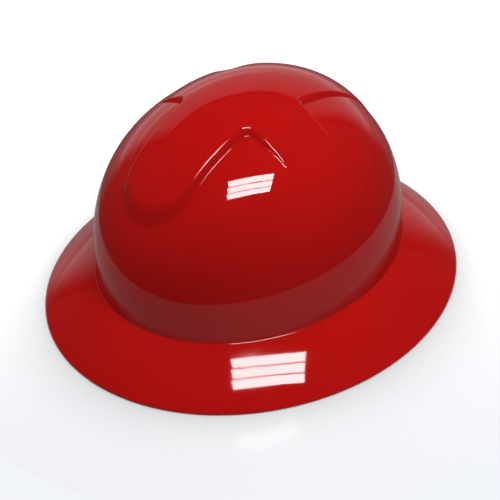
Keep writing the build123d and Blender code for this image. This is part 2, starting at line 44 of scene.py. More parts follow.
# The hat's sizes in millimetres. The origin is the middle of the plane that the brim rests on,
# the front is -Y and the wearer's left is +X.
brim_half_width, brim_half_length = 140.8, 156.0
crown_half_width, crown_half_length, crown_height = 100.8, 117.8, 120.8
brim_drop, brim_edge_height, brim_arch, brim_rim_width = 27.4, 1.2, 1.8, 2.6
shell_wall, root_level = 2.4, 26.06
plan_power, side_power = 2.08, 2.58
cross_rise, cross_side, cross_front, cross_rear = 4.9, 93.2, 120.5, 117.0
rib_half_width, rib_tip_half_width, rear_rib_half_width = 28.0, 26.4, 32.2
side_rib_front, side_rib_rear = 25.8, 19.6
nose_middle, nose_length, cross_corner = 77.7, 22.0, 5.2
foot_flare, flare_height = 0.5, 17.0
key_turns = {"key_front_left": -49.5, "key_front_right": -130.5, "key_side_left": 0.0,
             "key_side_right": 180.0, "key_rear_left": 49.5, "key_rear_right": 130.5}

# Meshes and pieces


def in_scene(name, data):
    piece = bpy.data.objects.new(name, data)
    bpy.context.scene.collection.objects.link(piece)
    return piece


def new_piece(name, points, faces, body, material):
    """A smooth piece from points in millimetres, which rides on this body if there is one."""
    mesh = bpy.data.meshes.new(name)
    mesh.from_pydata((np.asarray(points, float) * mm).tolist(), [], faces)
    mesh.update()
    mesh.shade_smooth()
    mesh.materials.append(material)
    piece = in_scene(name, mesh)
    if body is not None:
        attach(piece, body)
    return piece


def evaluated_mesh(piece):
    """A plain mesh of what a piece's modifiers make of it."""
    graph = bpy.context.evaluated_depsgraph_get()
    return bpy.data.meshes.new_from_object(piece.evaluated_get(graph))


def placed(points, turn, lift):
    """Points given outwards, across and up, in the plane of this direction."""
    cos, sin = math.cos(math.radians(turn)), math.sin(math.radians(turn))
    return [(out * cos - across * sin, out * sin + across * cos, up + lift)
            for out, across, up in points]


# Node graphs


class Graph:
    """A node tree that is written as sums: each call adds a node and gives its output."""

    def __init__(self, tree):
        self.tree = tree

    def node(self, kind, **settings):
        made = self.tree.nodes.new(kind)
        for name, value in settings.items():
            setattr(made, name, value)
        return made

    def feed(self, socket, value):
        if isinstance(value, bpy.types.NodeSocket):
            self.tree.links.new(value, socket)
        else:
            socket.default_value = value

    def math(self, operation, *values):
        made = self.node("ShaderNodeMath", operation=operation)
        for socket, value in zip(made.inputs, values):
            self.feed(socket, value)
        return made.outputs[0]

    def vector(self, operation, *values, out=0):
        made = self.node("ShaderNodeVectorMath", operation=operation)
        for socket, value in zip(made.inputs, values):
            self.feed(socket, value)
        return made.outputs[out]

    def split(self, vector):
        """The three parts of a vector."""
        made = self.node("ShaderNodeSeparateXYZ")
        self.feed(made.inputs[0], vector)
        return made.outputs

    def noise(self, where, scale, detail=3.0, roughness=0.5, stretch=None):
        if stretch is not None:
            where = self.vector("MULTIPLY", where, stretch)
        made = self.node("ShaderNodeTexNoise")
        self.feed(made.inputs["Vector"], where)
        made.inputs["Scale"].default_value = scale
        made.inputs["Detail"].default_value = detail
        made.inputs["Roughness"].default_value = roughness
        return made.outputs["Fac"]

    def remap(self, value, low, high, out_low=0.0, out_high=1.0, smooth=False):
        made = self.node("ShaderNodeMapRange", clamp=True,
                         interpolation_type="SMOOTHSTEP" if smooth else "LINEAR")
        for socket, part in zip(made.inputs, (value, low, high, out_low, out_high)):
            self.feed(socket, part)
        return made.outputs[0]

    def blend(self, share, first, second):
        made = self.node("ShaderNodeMix", data_type="RGBA")
        self.feed(made.inputs[0], share)
        for socket, colour in ((made.inputs[6], first), (made.inputs[7], second)):
            self.feed(socket, colour if isinstance(colour, bpy.types.NodeSocket)
                      else (*colour, 1.0))
        return made.outputs[2]

    def bump(self, height, distance, strength, normal=None):
        made = self.node("ShaderNodeBump")
        made.inputs["Strength"].default_value = strength
        made.inputs["Distance"].default_value = distance
        self.feed(made.inputs["Height"], height)
        if normal is not None:
            self.feed(made.inputs["Normal"], normal)
        return made.outputs[0]


def new_finish(name, preview):
    """A material with a Principled shader, its graph, and the object coordinates."""
    finish = bpy.data.materials.new(name)
    finish.use_nodes = True
    finish.diffuse_color = (*preview, 1.0)
    graph = Graph(finish.node_tree)
    shader = finish.node_tree.nodes["Principled BSDF"]
    place = graph.node("ShaderNodeTexCoord").outputs["Object"]
    return finish, graph, shader, place


def rounded_normal(graph, radius):
    """The moulded rounding of an edge, where the solid's own edge is sharp."""
    made = graph.node("ShaderNodeBevel", samples=6)
    made.inputs["Radius"].default_value = radius
    return made.outputs[0]


def shell_gloss():
    """Polished moulded shell: an even deep red under a clear gloss, with two faint ripples from
    the mould, light smears from handling, a few hairline scuffs and specks of dust."""
    finish, graph, shader, place = new_finish("shell_gloss", (0.43, 0.006, 0.005))
    tone = graph.noise(place, scale=9.0, detail=2.0)
    colour = graph.blend(graph.remap(tone, 0.3, 0.7), (0.385, 0.0034, 0.0026),
                         (0.415, 0.0044, 0.0034))
    smear = graph.noise(place, scale=17.0, detail=5.0, roughness=0.62, stretch=(1.0, 0.6, 1.5))
    smear = graph.remap(smear, 0.52, 0.78)
    fine = graph.noise(place, scale=420.0, detail=2.0)
    streaks = graph.noise(place, scale=55.0, detail=6.0, roughness=0.75,
                          stretch=(1.0, 0.12, 1.0))
    scratch = graph.remap(streaks, 0.715, 0.73)
    dust = graph.node("ShaderNodeTexVoronoi")
    graph.feed(dust.inputs["Vector"], place)
    dust.inputs["Scale"].default_value = 260.0
    speck = graph.math("MULTIPLY", graph.remap(dust.outputs["Distance"], 0.10, 0.05),
                       graph.remap(graph.noise(place, scale=30.0, detail=3.0), 0.6, 0.68))
    colour = graph.blend(graph.math("MULTIPLY", speck, 0.25), colour, (0.5, 0.30, 0.27))
    graph.feed(shader.inputs["Base Color"], colour)
    rough = graph.math("ADD", 0.025, graph.math("MULTIPLY", smear, 0.05))
    rough = graph.math("ADD", rough, graph.math("MULTIPLY", scratch, 0.14))
    rough = graph.math("ADD", rough, graph.math("MULTIPLY", fine, 0.01))
    graph.feed(shader.inputs["Roughness"], rough)
    shader.inputs["IOR"].default_value = 1.45
    broad_ripple = graph.noise(place, scale=34.0, detail=1.0)
    fine_ripple = graph.noise(place, scale=130.0, detail=1.0)
    normal = graph.bump(broad_ripple, distance=0.00016, strength=0.4)
    normal = graph.bump(fine_ripple, distance=0.00002, strength=0.35, normal=normal)
    normal = graph.bump(scratch, distance=0.00001, strength=0.25, normal=normal)
    graph.feed(shader.inputs["Normal"], normal)
    return finish


def moulded_plastic(name, dark, light, roughness, grain=900.0, edge=0.0004, wear=0.5):
    """Injection moulded plastic with a fine grain from the mould, flow marks and rubbed edges."""
    finish, graph, shader, place = new_finish(name, light)
    flow = graph.noise(place, scale=24.0, detail=4.0, roughness=0.6, stretch=(1.0, 1.0, 2.2))
    cloud = graph.noise(place, scale=120.0, detail=3.0)
    grit = graph.noise(place, scale=grain, detail=2.0, roughness=0.6)
    colour = graph.blend(graph.remap(flow, 0.35, 0.65), dark, light)
    rounded = rounded_normal(graph, edge)
    flat = graph.node("ShaderNodeNewGeometry").outputs["Normal"]
    rub = graph.math("SUBTRACT", 1.0, graph.vector("DOT_PRODUCT", rounded, flat, out=1))
    rub = graph.math("MULTIPLY", graph.remap(rub, 0.01, 0.16), graph.remap(cloud, 0.35, 0.6))
    pale = tuple(min(1.0, 1.6 * part + 0.03) for part in light)
    colour = graph.blend(graph.math("MULTIPLY", rub, wear), colour, pale)
    graph.feed(shader.inputs["Base Color"], colour)
    rough = graph.math("ADD", roughness, graph.math("MULTIPLY", cloud, 0.16))
    graph.feed(shader.inputs["Roughness"], graph.math("SUBTRACT", rough,
                                                      graph.math("MULTIPLY", rub, 0.1)))
    graph.feed(shader.inputs["Normal"],
               graph.bump(grit, distance=0.00006, strength=0.5, normal=rounded))
    return finish


def turned_steel(name, tint, roughness):
    """Plated steel with fine turning marks and dull stains."""
    finish, graph, shader, place = new_finish(name, tint)
    marks = graph.noise(place, scale=260.0, detail=3.0, roughness=0.6, stretch=(1.0, 6.0, 1.0))
    stain = graph.noise(place, scale=90.0, detail=4.0)
    graph.feed(shader.inputs["Base Color"],
               graph.blend(graph.remap(stain, 0.4, 0.7), tint,
                           tuple(0.72 * part for part in tint)))
    graph.feed(shader.inputs["Roughness"],
               graph.math("ADD", roughness, graph.math("MULTIPLY", stain, 0.22)))
    shader.inputs["Metallic"].default_value = 1.0
    rounded = rounded_normal(graph, radius=0.0003)
    graph.feed(shader.inputs["Normal"],
               graph.bump(marks, distance=0.00003, strength=0.4, normal=rounded))
    return finish


def woven(graph, u, v, pitch_u, pitch_v):
    """A plain weave over u and v in metres: the height of the threads and which set is up."""
    across = graph.math("SINE", graph.math("MULTIPLY", u, math.pi / pitch_u))
    along = graph.math("SINE", graph.math("MULTIPLY", v, math.pi / pitch_v))
    which = graph.remap(graph.math("MULTIPLY", across, along), -0.25, 0.25, smooth=True)
    warp = graph.math("ABSOLUTE", across)
    weft = graph.math("ABSOLUTE", along)
    height = graph.math("ADD", graph.math("MULTIPLY", warp, which),
                        graph.math("MULTIPLY", weft, graph.math("SUBTRACT", 1.0, which)))
    return height, which


def strap_weave():
    """Woven nylon webbing: a plain weave of thick threads, worn in patches, with some fuzz,
    and painted shade where the threads dip between each other.
    """
    finish, graph, shader, place = new_finish("strap_weave", (0.06, 0.06, 0.065))
    uv = graph.node("ShaderNodeUVMap", uv_map="UVMap").outputs[0]
    along, across, _ = graph.split(uv)
    height, which = woven(graph, along, across, pitch_u=0.0011, pitch_v=0.00085)
    fuzz = graph.noise(place, scale=1500.0, detail=3.0, roughness=0.7)
    shade = graph.noise(place, scale=40.0, detail=3.0)
    colour = graph.blend(which, (0.035, 0.036, 0.040), (0.075, 0.076, 0.082))
    colour = graph.blend(graph.remap(shade, 0.3, 0.8, 0.0, 0.45), colour,
                         (0.085, 0.083, 0.080))
    # Painted shade: darker where the weave dips between the threads.
    colour = graph.blend(graph.math("MULTIPLY", graph.math("SUBTRACT", 1.0, height), 0.6),
                         colour, (0.008, 0.008, 0.009))
    graph.feed(shader.inputs["Base Color"], colour)
    graph.feed(shader.inputs["Roughness"], graph.remap(fuzz, 0.2, 0.8, 0.55, 0.85))
    shader.inputs["Sheen Weight"].default_value = 0.35
    shader.inputs["Sheen Roughness"].default_value = 0.4
    relief = graph.math("ADD", height, graph.math("MULTIPLY", fuzz, 0.35))
    graph.feed(shader.inputs["Normal"], graph.bump(relief, distance=0.00028, strength=0.8))
    return finish


def pad_cloth(name, dark, light):
    """Terry cloth: looped pile over a fine knit, with painted shade between the loops, and
    darker in patches.
    """
    finish, graph, shader, place = new_finish(name, light)
    uv = graph.node("ShaderNodeUVMap", uv_map="UVMap").outputs[0]
    loops = graph.node("ShaderNodeTexVoronoi", feature="SMOOTH_F1")
    graph.feed(loops.inputs["Vector"], uv)
    loops.inputs["Scale"].default_value = 900.0
    loops.inputs["Smoothness"].default_value = 0.4
    pile = graph.remap(loops.outputs["Distance"], 0.0, 0.75, 1.0, 0.0)
    along, up, _ = graph.split(uv)
    knit, _ = woven(graph, along, up, pitch_u=0.0016, pitch_v=0.0013)
    patch = graph.noise(place, scale=55.0, detail=4.0)
    # Painted shade: the dark colour lies between the loops, the light one on their tops.
    colour = graph.blend(pile, dark, light)
    colour = graph.blend(graph.remap(patch, 0.35, 0.75, 0.0, 0.35), colour,
                         tuple(0.6 * part for part in light))
    graph.feed(shader.inputs["Base Color"], colour)
    shader.inputs["Roughness"].default_value = 0.92
    shader.inputs["Sheen Weight"].default_value = 0.5
    shader.inputs["Sheen Roughness"].default_value = 0.5
    relief = graph.math("ADD", pile, graph.math("MULTIPLY", knit, 0.3))
    graph.feed(shader.inputs["Normal"], graph.bump(relief, distance=0.0004, strength=0.9))
    return finish


def sewing_thread(name, colour):
    """Twisted polyester thread."""
    finish, graph, shader, place = new_finish(name, colour)
    twist = graph.noise(place, scale=2600.0, detail=2.0)
    graph.feed(shader.inputs["Base Color"],
               graph.blend(twist, tuple(0.6 * part for part in colour), colour))
    shader.inputs["Roughness"].default_value = 0.6
    graph.feed(shader.inputs["Normal"], graph.bump(twist, distance=0.00008, strength=0.6))
    return finish


# Shell

# The slope round the raised cross, in plan: its run for each millimetre of lift, its least and
# most run, how far its crest lies inside the outline, and how round its foot and crest are. The
# front rib's nose is blunter, and these change towards it over nose_blend from nose_blend_start.
slope_run_per_lift, slope_run_least, slope_run_most, slope_crest = 1.05, 1.6, 4.6, 2.3
slope_foot_ease, slope_crest_ease = 0.24, 0.62
nose_blend_start, nose_blend = 68.0, 26.0
nose_run_more, nose_crest_more, nose_ease_less = 3.0, 1.2, 0.2

# The mesh of the domes: the pitch of their points, finer along the cross's edges, how far from
# those edges the coarse points end and the fine ones begin, the reach past which the dome is so
# steep that its points keep their level, and the grid of the fine points.
ring_count = 432
outer_pitch, outer_fine_pitch = 2.1, 0.58
inner_pitch, inner_fine_pitch = 3.4, 1.25
coarse_clearance, fine_reach, least_lift, steep_reach = 5.5, 5.2, 0.02, 0.955
fine_side, fine_front, fine_rear = 82.0, 108.0, 112.0
grid_offset_x, grid_offset_y, grid_stagger, most_sunk = 0.013, 0.007, 0.25, 0.15

# The brim's rings: the fillet at the crown's root, the top up to brim_top_share of its width,
# whose level blends out of the fillet at blend_rate, the rolled edge, the rim that the hat rests
# on, and the underside, which ends root_overlap above the root of the inner dome.
root_fillet, fillet_steps = 1.2, 6
brim_top_share, top_steps, blend_rate = 0.972, 18, 6
rolled_edge, edge_turns = 0.6, (52, 30, 10, -15, -40, -65, -90)
rim_shares = (0.8, 0.97)
underside_shares = (0.004, 0.02, 0.1, 0.25, 0.4, 0.55, 0.7, 0.85, 0.96, 0.99)
root_overlap = 0.25


def dome_level(x, y, half_width, half_length, height):
    reach = np.hypot(x / half_width, y / half_length)
    return brim_drop + height * np.clip(1 - reach ** plan_power, 0, None) ** (1 / side_power)


def outside_cross(x, y, inset):
    """How far a point lies outside the raised cross's outline, in plan; inside is below 0."""
    taper = (rib_half_width - rib_tip_half_width) / (nose_middle - side_rib_front)
    front_half = rib_half_width - taper * np.clip(-y - side_rib_front, 0, None)
    front_rib = np.abs(x) - front_half
    half, length = rib_tip_half_width, nose_length
    ring = np.hypot(x / half, (y + nose_middle) / length)
    slope = np.hypot(x / half ** 2, (y + nose_middle) / length ** 2)
    nose = ring * (ring - 1) / np.maximum(slope, 1e-6)
    rib = np.where(y < -nose_middle, nose, front_rib)
    rib = np.where(y > 0, np.abs(x) - rear_rib_half_width, rib) + inset
    side = np.maximum(-side_rib_front - y, y - side_rib_rear) + inset
    corner = cross_corner + inset
    fillet = np.hypot(np.clip(corner - rib, 0, None), np.clip(corner - side, 0, None))
    return np.maximum(corner, np.minimum(rib, side)) - fillet


def eased(share, low=0.32, high=0.32):
    """A straight ramp with rounded ends: 0 before 0 and 1 after 1."""
    t = np.clip(share, 0, 1)
    slope = 1 / (1 - (low + high) / 2)
    return np.where(t < low, slope * t * t / (2 * low),
                    np.where(t > 1 - high, 1 - slope * (1 - t) ** 2 / (2 * high),
                             slope * (t - low / 2)))


def shell_level(x, y, inset):
    """The level of the shell's outer wall, or of its inner wall for an inset of the wall."""
    crown = dome_level(x, y, crown_half_width - inset, crown_half_length - inset,
                       crown_height - inset)
    half_length = np.where(y < 0, cross_front, cross_rear) - inset
    cross = dome_level(x, y, cross_side - inset, half_length, crown_height + cross_rise - inset)
    lift = np.clip(cross - crown, 0, None)
    reach = np.hypot(x / (crown_half_width - inset), y / (crown_half_length - inset))
    left = np.clip(1 - reach ** plan_power, 1e-4, None)
    fall = plan_power / side_power * crown_height * reach ** (plan_power - 1)
    fall = fall * left ** (1 / side_power - 1) / crown_half_length
    blunt = eased((-y - nose_blend_start) / nose_blend)
    run = np.clip(slope_run_per_lift * lift / np.hypot(1, fall), slope_run_least,
                  slope_run_most) + nose_run_more * blunt
    crest = slope_crest + nose_crest_more * blunt
    share = eased((run - crest - outside_cross(x, y, inset)) / run, slope_foot_ease,
                  slope_crest_ease - nose_ease_less * blunt)
    return crown + share * lift


def dome_profile(inset):
    """Distances from the top along the dome's profile, with the turn of each."""
    turns = np.linspace(0, math.pi / 2, 6001)
    reach = np.cos(turns) ** (2 / plan_power)
    rise = np.sin(turns) ** (2 / side_power)
    mean = (crown_half_width + crown_half_length) / 2 - inset
    steps = np.hypot(np.diff(reach) * mean, np.diff(rise) * (crown_height - inset))
    walked = np.concatenate([[0], np.cumsum(steps)])
    return turns, reach, rise, walked[-1] - walked


def coarse_points(inset, foot_level, pitch, profile):
    """Rings of points down the dome, away from the cross's edges. The first ring is the foot.
    Each is given in place and on the flattened dome."""
    half_width, half_length = crown_half_width - inset, crown_half_length - inset
    height = crown_height - inset
    turns, _, rise, walked = profile
    foot = np.interp((foot_level - brim_drop) / height, rise, turns)
    foot_walk = np.interp(foot, turns, walked)
    places, flat = [], []
    rows = max(2, int(round(foot_walk / pitch)))
    for row in range(rows):
        walk = foot_walk * (1 - row / rows)
        turn = np.interp(-walk, -walked, turns)
        out = math.cos(turn) ** (2 / plan_power)
        level = brim_drop + height * math.sin(turn) ** (2 / side_power)
        count = ring_count if row == 0 else max(8, int(round(2 * math.pi * walk / pitch)))
        angles = (np.arange(count) + 0.5 * (row % 2)) * 2 * math.pi / count
        x, y = half_width * out * np.cos(angles), half_length * out * np.sin(angles)
        keep = np.ones(count, bool)
        if row:
            keep = np.abs(outside_cross(x, y, inset)) > coarse_clearance
            keep |= shell_level(x, y, inset) - level < least_lift
            keep |= out > steep_reach
        places.append(np.stack([x, y, np.full(count, level)], 1)[keep])
        flat.append(np.stack([walk * np.cos(angles), walk * np.sin(angles)], 1)[keep])
    return places, flat


def fine_points(inset, pitch, profile):
    """Points along the cross's edges, where it lies above the dome or no more than most_sunk
    below it. Their grid is set off a little from the cross's straight lines."""
    half_width, half_length = crown_half_width - inset, crown_half_length - inset
    height = crown_height - inset
    turns, _, rise, walked = profile
    grid_x, grid_y = np.meshgrid(np.arange(-fine_side, fine_side + 0.1, pitch),
                                 np.arange(-fine_front, fine_rear, pitch))
    x, y = grid_x.ravel() + grid_offset_x, grid_y.ravel() + grid_offset_y
    x = x + grid_stagger * pitch * (np.round(y / pitch) % 2)
    crown = dome_level(x, y, half_width, half_length, height)
    near = np.abs(outside_cross(x, y, inset)) < fine_reach
    half = np.where(y < 0, cross_front, cross_rear) - inset
    cross = dome_level(x, y, cross_side - inset, half, crown_height + cross_rise - inset)
    near &= cross - crown > -most_sunk
    near &= np.hypot(x / half_width, y / half_length) < steep_reach
    x, y, crown = x[near], y[near], crown[near]
    turn = np.interp((crown - brim_drop) / height, rise, turns)
    walk = np.interp(turn, turns, walked)
    angles = np.arctan2(y / half_length, x / half_width)
    return (np.stack([x, y, crown], 1),
            np.stack([walk * np.cos(angles), walk * np.sin(angles)], 1))


def dome_normals(places, out, far, inset):
    """The dome's own normals where it is steep, and those of its levels elsewhere."""
    half_width, half_length = crown_half_width - inset, crown_half_length - inset
    height = crown_height - inset
    x, y = places[:, 0], places[:, 1]
    rise = np.clip((places[:, 2] - brim_drop) / height, 1e-9, None)
    pull = plan_power * np.maximum(out, 1e-6) ** (plan_power - 2)
    steep = np.stack([pull * x / half_width ** 2, pull * y / half_length ** 2,
                      side_power * rise ** (side_power - 1) / height], 1)
    step = 0.04
    slope_x = (shell_level(x + step, y, inset) - shell_level(x - step, y, inset)) / (2 * step)
    slope_y = (shell_level(x, y + step, inset) - shell_level(x, y - step, inset)) / (2 * step)
    level = np.stack([-slope_x, -slope_y, np.ones(len(x))], 1)
    return np.where(far[:, None], steep, level)


def flare_foot(places, normals, foot_level):
    """Pushes the outer dome's foot out a little, most at its lowest ring."""
    above = np.clip(1 - (places[:, 2] - foot_level) / flare_height, 0, 1)
    across = np.maximum(np.hypot(normals[:, 0], normals[:, 1]), 1e-9)
    push = foot_flare * above ** 2 / across
    places[:, :2] += push[:, None] * normals[:, :2]
    normals[:, 2] += across * 2 * foot_flare * above / flare_height


def dome_mesh(inset, foot_level, pitch, fine_pitch):
    """Points, triangles and normals of the outer or inner dome. The first ring_count points are
    the foot, in the order of their angle. The triangles are found on the flattened dome, where
    the steep foot has room, and they are finer along the edges of the raised cross."""
    profile = dome_profile(inset)
    places, flat = coarse_points(inset, foot_level, pitch, profile)
    fine_places, fine_flat = fine_points(inset, fine_pitch, profile)
    places, flat = np.concatenate([*places, fine_places]), np.concatenate([*flat, fine_flat])
    found = delaunay_2d_cdt([Vector(p) for p in flat.tolist()], [], [], 0, 1e-6)
    order = [sources[0] for sources in found[3]]
    triangles = np.array([[order[i] for i in face] for face in found[2]])
    x, y = places[:, 0], places[:, 1]
    out = np.hypot(x / (crown_half_width - inset), y / (crown_half_length - inset))
    far = out >= steep_reach
    places[:, 2] = np.where(far, places[:, 2], shell_level(x, y, inset))
    normals = dome_normals(places, out, far, inset)
    if not inset:
        flare_foot(places, normals, foot_level)
    normals /= np.linalg.norm(normals, axis=1)[:, None]
    return places, triangles, normals


def shell_rings():
    """The rings below the outer dome: the root's fillet, the brim's top, its rolled edge, the
    rim that it rests on, its underside and the foot of the inner dome."""
    angles = np.arange(ring_count) * 2 * math.pi / ring_count
    fall = brim_drop - brim_edge_height
    rise_width = brim_half_width - crown_half_width
    rise_length = brim_half_length - crown_half_length
    lean = math.atan2(fall - 4 * brim_arch, (rise_width + rise_length) / 2)
    along = root_fillet * math.tan((math.pi / 2 - lean) / 2)
    rings = []
    for step in range(1, fillet_steps + 1):
        turn = (math.pi / 2 - lean) * step / fillet_steps
        out = foot_flare + root_fillet * (1 - math.cos(turn))
        rings.append((out, out, brim_drop + along - root_fillet * math.sin(turn)))
    first = rings[-1][0] / rise_width
    base = brim_drop - fall * first + 4 * brim_arch * first * (1 - first)
    shift = rings[-1][2] - base
    for step in range(1, top_steps + 1):
        share = first + (brim_top_share - first) * step / top_steps
        level = brim_drop - fall * share + 4 * brim_arch * share * (1 - share)
        rings.append((rise_width * share, rise_length * share,
                      level + shift * max(0.0, 1 - blend_rate * (share - first))))
    for turn in edge_turns:
        cos, sin = math.cos(math.radians(turn)), math.sin(math.radians(turn))
        rings.append((rise_width - rolled_edge + rolled_edge * cos,
                      rise_length - rolled_edge + rolled_edge * cos,
                      rolled_edge + rolled_edge * sin))
    for share in rim_shares:
        rings.append((rise_width - share * brim_rim_width,
                      rise_length - share * brim_rim_width, 0.0))
    start_x, start_y = rise_width - brim_rim_width, rise_length - brim_rim_width
    for share in underside_shares:
        rings.append((start_x + (-shell_wall - start_x) * share,
                      start_y + (-shell_wall - start_y) * share,
                      root_level * share + 4 * brim_arch * share * (1 - share)))
    rings.append((-shell_wall, -shell_wall, root_level + root_overlap))
    places = []
    for out_x, out_y, level in rings:
        places.append(np.stack([(crown_half_width + out_x) * np.cos(angles),
                                (crown_half_length + out_y) * np.sin(angles),
                                np.full(ring_count, level)], 1))
    return places, brim_drop + along


def make_shell(material):
    rings, dome_foot = shell_rings()
    outer, outer_faces, outer_normals = dome_mesh(0.0, dome_foot, outer_pitch,
                                                  outer_fine_pitch)
    inner, inner_faces, inner_normals = dome_mesh(shell_wall, brim_drop, inner_pitch,
                                                  inner_fine_pitch)
    stack = [outer[:ring_count], *rings, inner[:ring_count]]
    normals = []
    for row in range(1, len(stack) - 1):
        along = stack[row + 1] - stack[row - 1]
        if row == len(stack) - 2:
            along = stack[row] - stack[row - 1]
        around = np.roll(stack[row], -1, 0) - np.roll(stack[row], 1, 0)
        turned = np.cross(along, around)
        normals.append(turned / np.linalg.norm(turned, axis=1)[:, None])
    points = np.concatenate([outer, *rings, inner])
    starts = [0] + [len(outer) + ring_count * row for row in range(len(rings) + 1)]
    faces = outer_faces.tolist()
    for row in range(len(starts) - 1):
        here, there = starts[row], starts[row + 1]
        for j in range(ring_count):
            k = (j + 1) % ring_count
            faces.append((here + j, there + j, there + k, here + k))
    faces += (inner_faces[:, ::-1] + starts[-1]).tolist()
    all_normals = np.concatenate([outer_normals, *normals, -inner_normals])
    shell = new_piece("shell_moulding", points, faces, "shell", material)
    shell.data.normals_split_custom_set_from_vertices(all_normals.tolist())
    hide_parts("shell")


shell_finish = shell_gloss()
make_shell(shell_finish)

# Sockets

# Each is a pocket against the inner wall, with a slot in it for a key's blade.
socket_half_width, socket_depth, socket_low, socket_high = 13.0, 7.1, 30.0, 46.0
slot_half_width, slot_near, slot_far, slot_high = 10.2, 5.5, 2.9, 44.0
socket_sink, socket_reach, socket_edge = 1.0, 0.997, 0.5


def inner_wall_radius(turn):
    across = math.cos(math.radians(turn)) / (crown_half_width - shell_wall)
    along = math.sin(math.radians(turn)) / (crown_half_length - shell_wall)
    return 1 / math.hypot(across, along)


def socket_back(turn, side):
    """How far out a socket's back goes at this place along its width: it sinks in the wall by
    nearly socket_sink."""
    cos, sin = math.cos(math.radians(turn)), math.sin(math.radians(turn))
    low, high = 60.0, 140.0
    for _ in range(40):
        out = (low + high) / 2
        x, y = out * cos - side * sin, out * sin + side * cos
        reach = math.hypot(x / (crown_half_width - shell_wall + socket_sink),
                           y / (crown_half_length - shell_wall + socket_sink))
        low, high = (out, high) if reach < socket_reach else (low, out)
    return out


def make_sockets(material):
    """Six pockets moulded on the inner wall, each with a slot for a key's blade."""
    points, faces = [], []
    for turn in key_turns.values():
        wall = inner_wall_radius(turn)
        back = [(socket_back(turn, side), side)
                for side in (-socket_half_width, 0.0, socket_half_width)]
        front = wall - socket_depth
        outer = [(front, -socket_half_width), *back, (front, socket_half_width)]
        slot = [(wall - slot_near, -slot_half_width), (wall - slot_far, -slot_half_width),
                (wall - slot_far, slot_half_width), (wall - slot_near, slot_half_width)]
        low = len(points)
        high, slot_foot, slot_top = low + 5, low + 10, low + 14
        for level, outline in ((socket_low, outer), (socket_high, outer),
                               (socket_low, slot), (slot_high, slot)):
            points += placed([(out, side, 0.0) for out, side in outline], turn, level)
        for j in range(5):
            k = (j + 1) % 5
            faces.append((low + j, low + k, high + k, high + j))
        for j in range(4):
            k = (j + 1) % 4
            faces.append((slot_foot + k, slot_foot + j, slot_top + j, slot_top + k))
        faces.append(tuple(high + j for j in range(5)))
        faces.append(tuple(slot_top + j for j in (3, 2, 1, 0)))
        faces.append((low + 1, low, slot_foot, slot_foot + 1))
        faces.append((low + 3, low + 2, low + 1, slot_foot + 1, slot_foot + 2))
        faces.append((low + 4, low + 3, slot_foot + 2, slot_foot + 3))
        faces.append((low, low + 4, slot_foot + 3, slot_foot))
    sockets = new_piece("shell_sockets", points, faces, None, material)
    bevel = sockets.modifiers.new("edges", "BEVEL")
    bevel.width, bevel.segments, bevel.limit_method = socket_edge * mm, 3, "ANGLE"
    bevel.harden_normals = True
    mesh = evaluated_mesh(sockets)
    sockets.modifiers.clear()
    sockets.data = mesh
    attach(sockets, "shell")


make_sockets(shell_finish)

# Straps and their sewing

# Each strap runs over the head between two bars at bar_level. Its direction, and the reach and
# rise of its path from there, are in webbings. It is sewn to itself from seam_level, where it
# leaves its path to go round the bar, up to sewn_level.
bar_level, eye_radius, seam_level, sewn_level = 50.75, 2.5, 14.0, 30.0
strap_width, strap_thickness, strap_step = 19.0, 1.2, 0.8
webbings = {"webbing_side": (0.0, 80.4, 61.75), "webbing_front_left": (-49.5, 98.54, 63.35),
            "webbing_front_right": (-130.5, 98.54, 64.95)}

# The box and the cross that are sewn at each end, and how far a thread's middle stands proud.
box_low, box_high, box_half_width, cross_inset, thread_proud = 15.6, 28.4, 7.2, 1.0, 0.03
seam_steps = 8


def new_tree(name, inputs):
    """A geometry tree that takes lines and these named inputs: its graph, its inputs' sockets
    and the socket for its result."""
    tree = bpy.data.node_groups.new(name, "GeometryNodeTree")
    tree.interface.new_socket("Geometry", in_out="OUTPUT", socket_type="NodeSocketGeometry")
    tree.interface.new_socket("Lines", in_out="INPUT", socket_type="NodeSocketGeometry")
    for label, kind, value in inputs:
        made = tree.interface.new_socket(label, in_out="INPUT", socket_type=kind)
        if value is not None:
            made.default_value = value
    graph = Graph(tree)
    return graph, graph.node("NodeGroupInput").outputs, graph.node("NodeGroupOutput").inputs[0]


def finish_tree(graph, shape, material, result):
    """The last nodes of each tree: smooth shading, a real mesh in place of copies, and the
    material."""
    smooth = graph.node("GeometryNodeSetShadeSmooth")
    graph.feed(smooth.inputs["Geometry"], shape)
    real = graph.node("GeometryNodeRealizeInstances")
    graph.feed(real.inputs[0], smooth.outputs[0])
    dressed = graph.node("GeometryNodeSetMaterial")
    graph.feed(dressed.inputs["Geometry"], real.outputs[0])
    graph.feed(dressed.inputs["Material"], material)
    graph.feed(result, dressed.outputs[0])
    return graph.tree


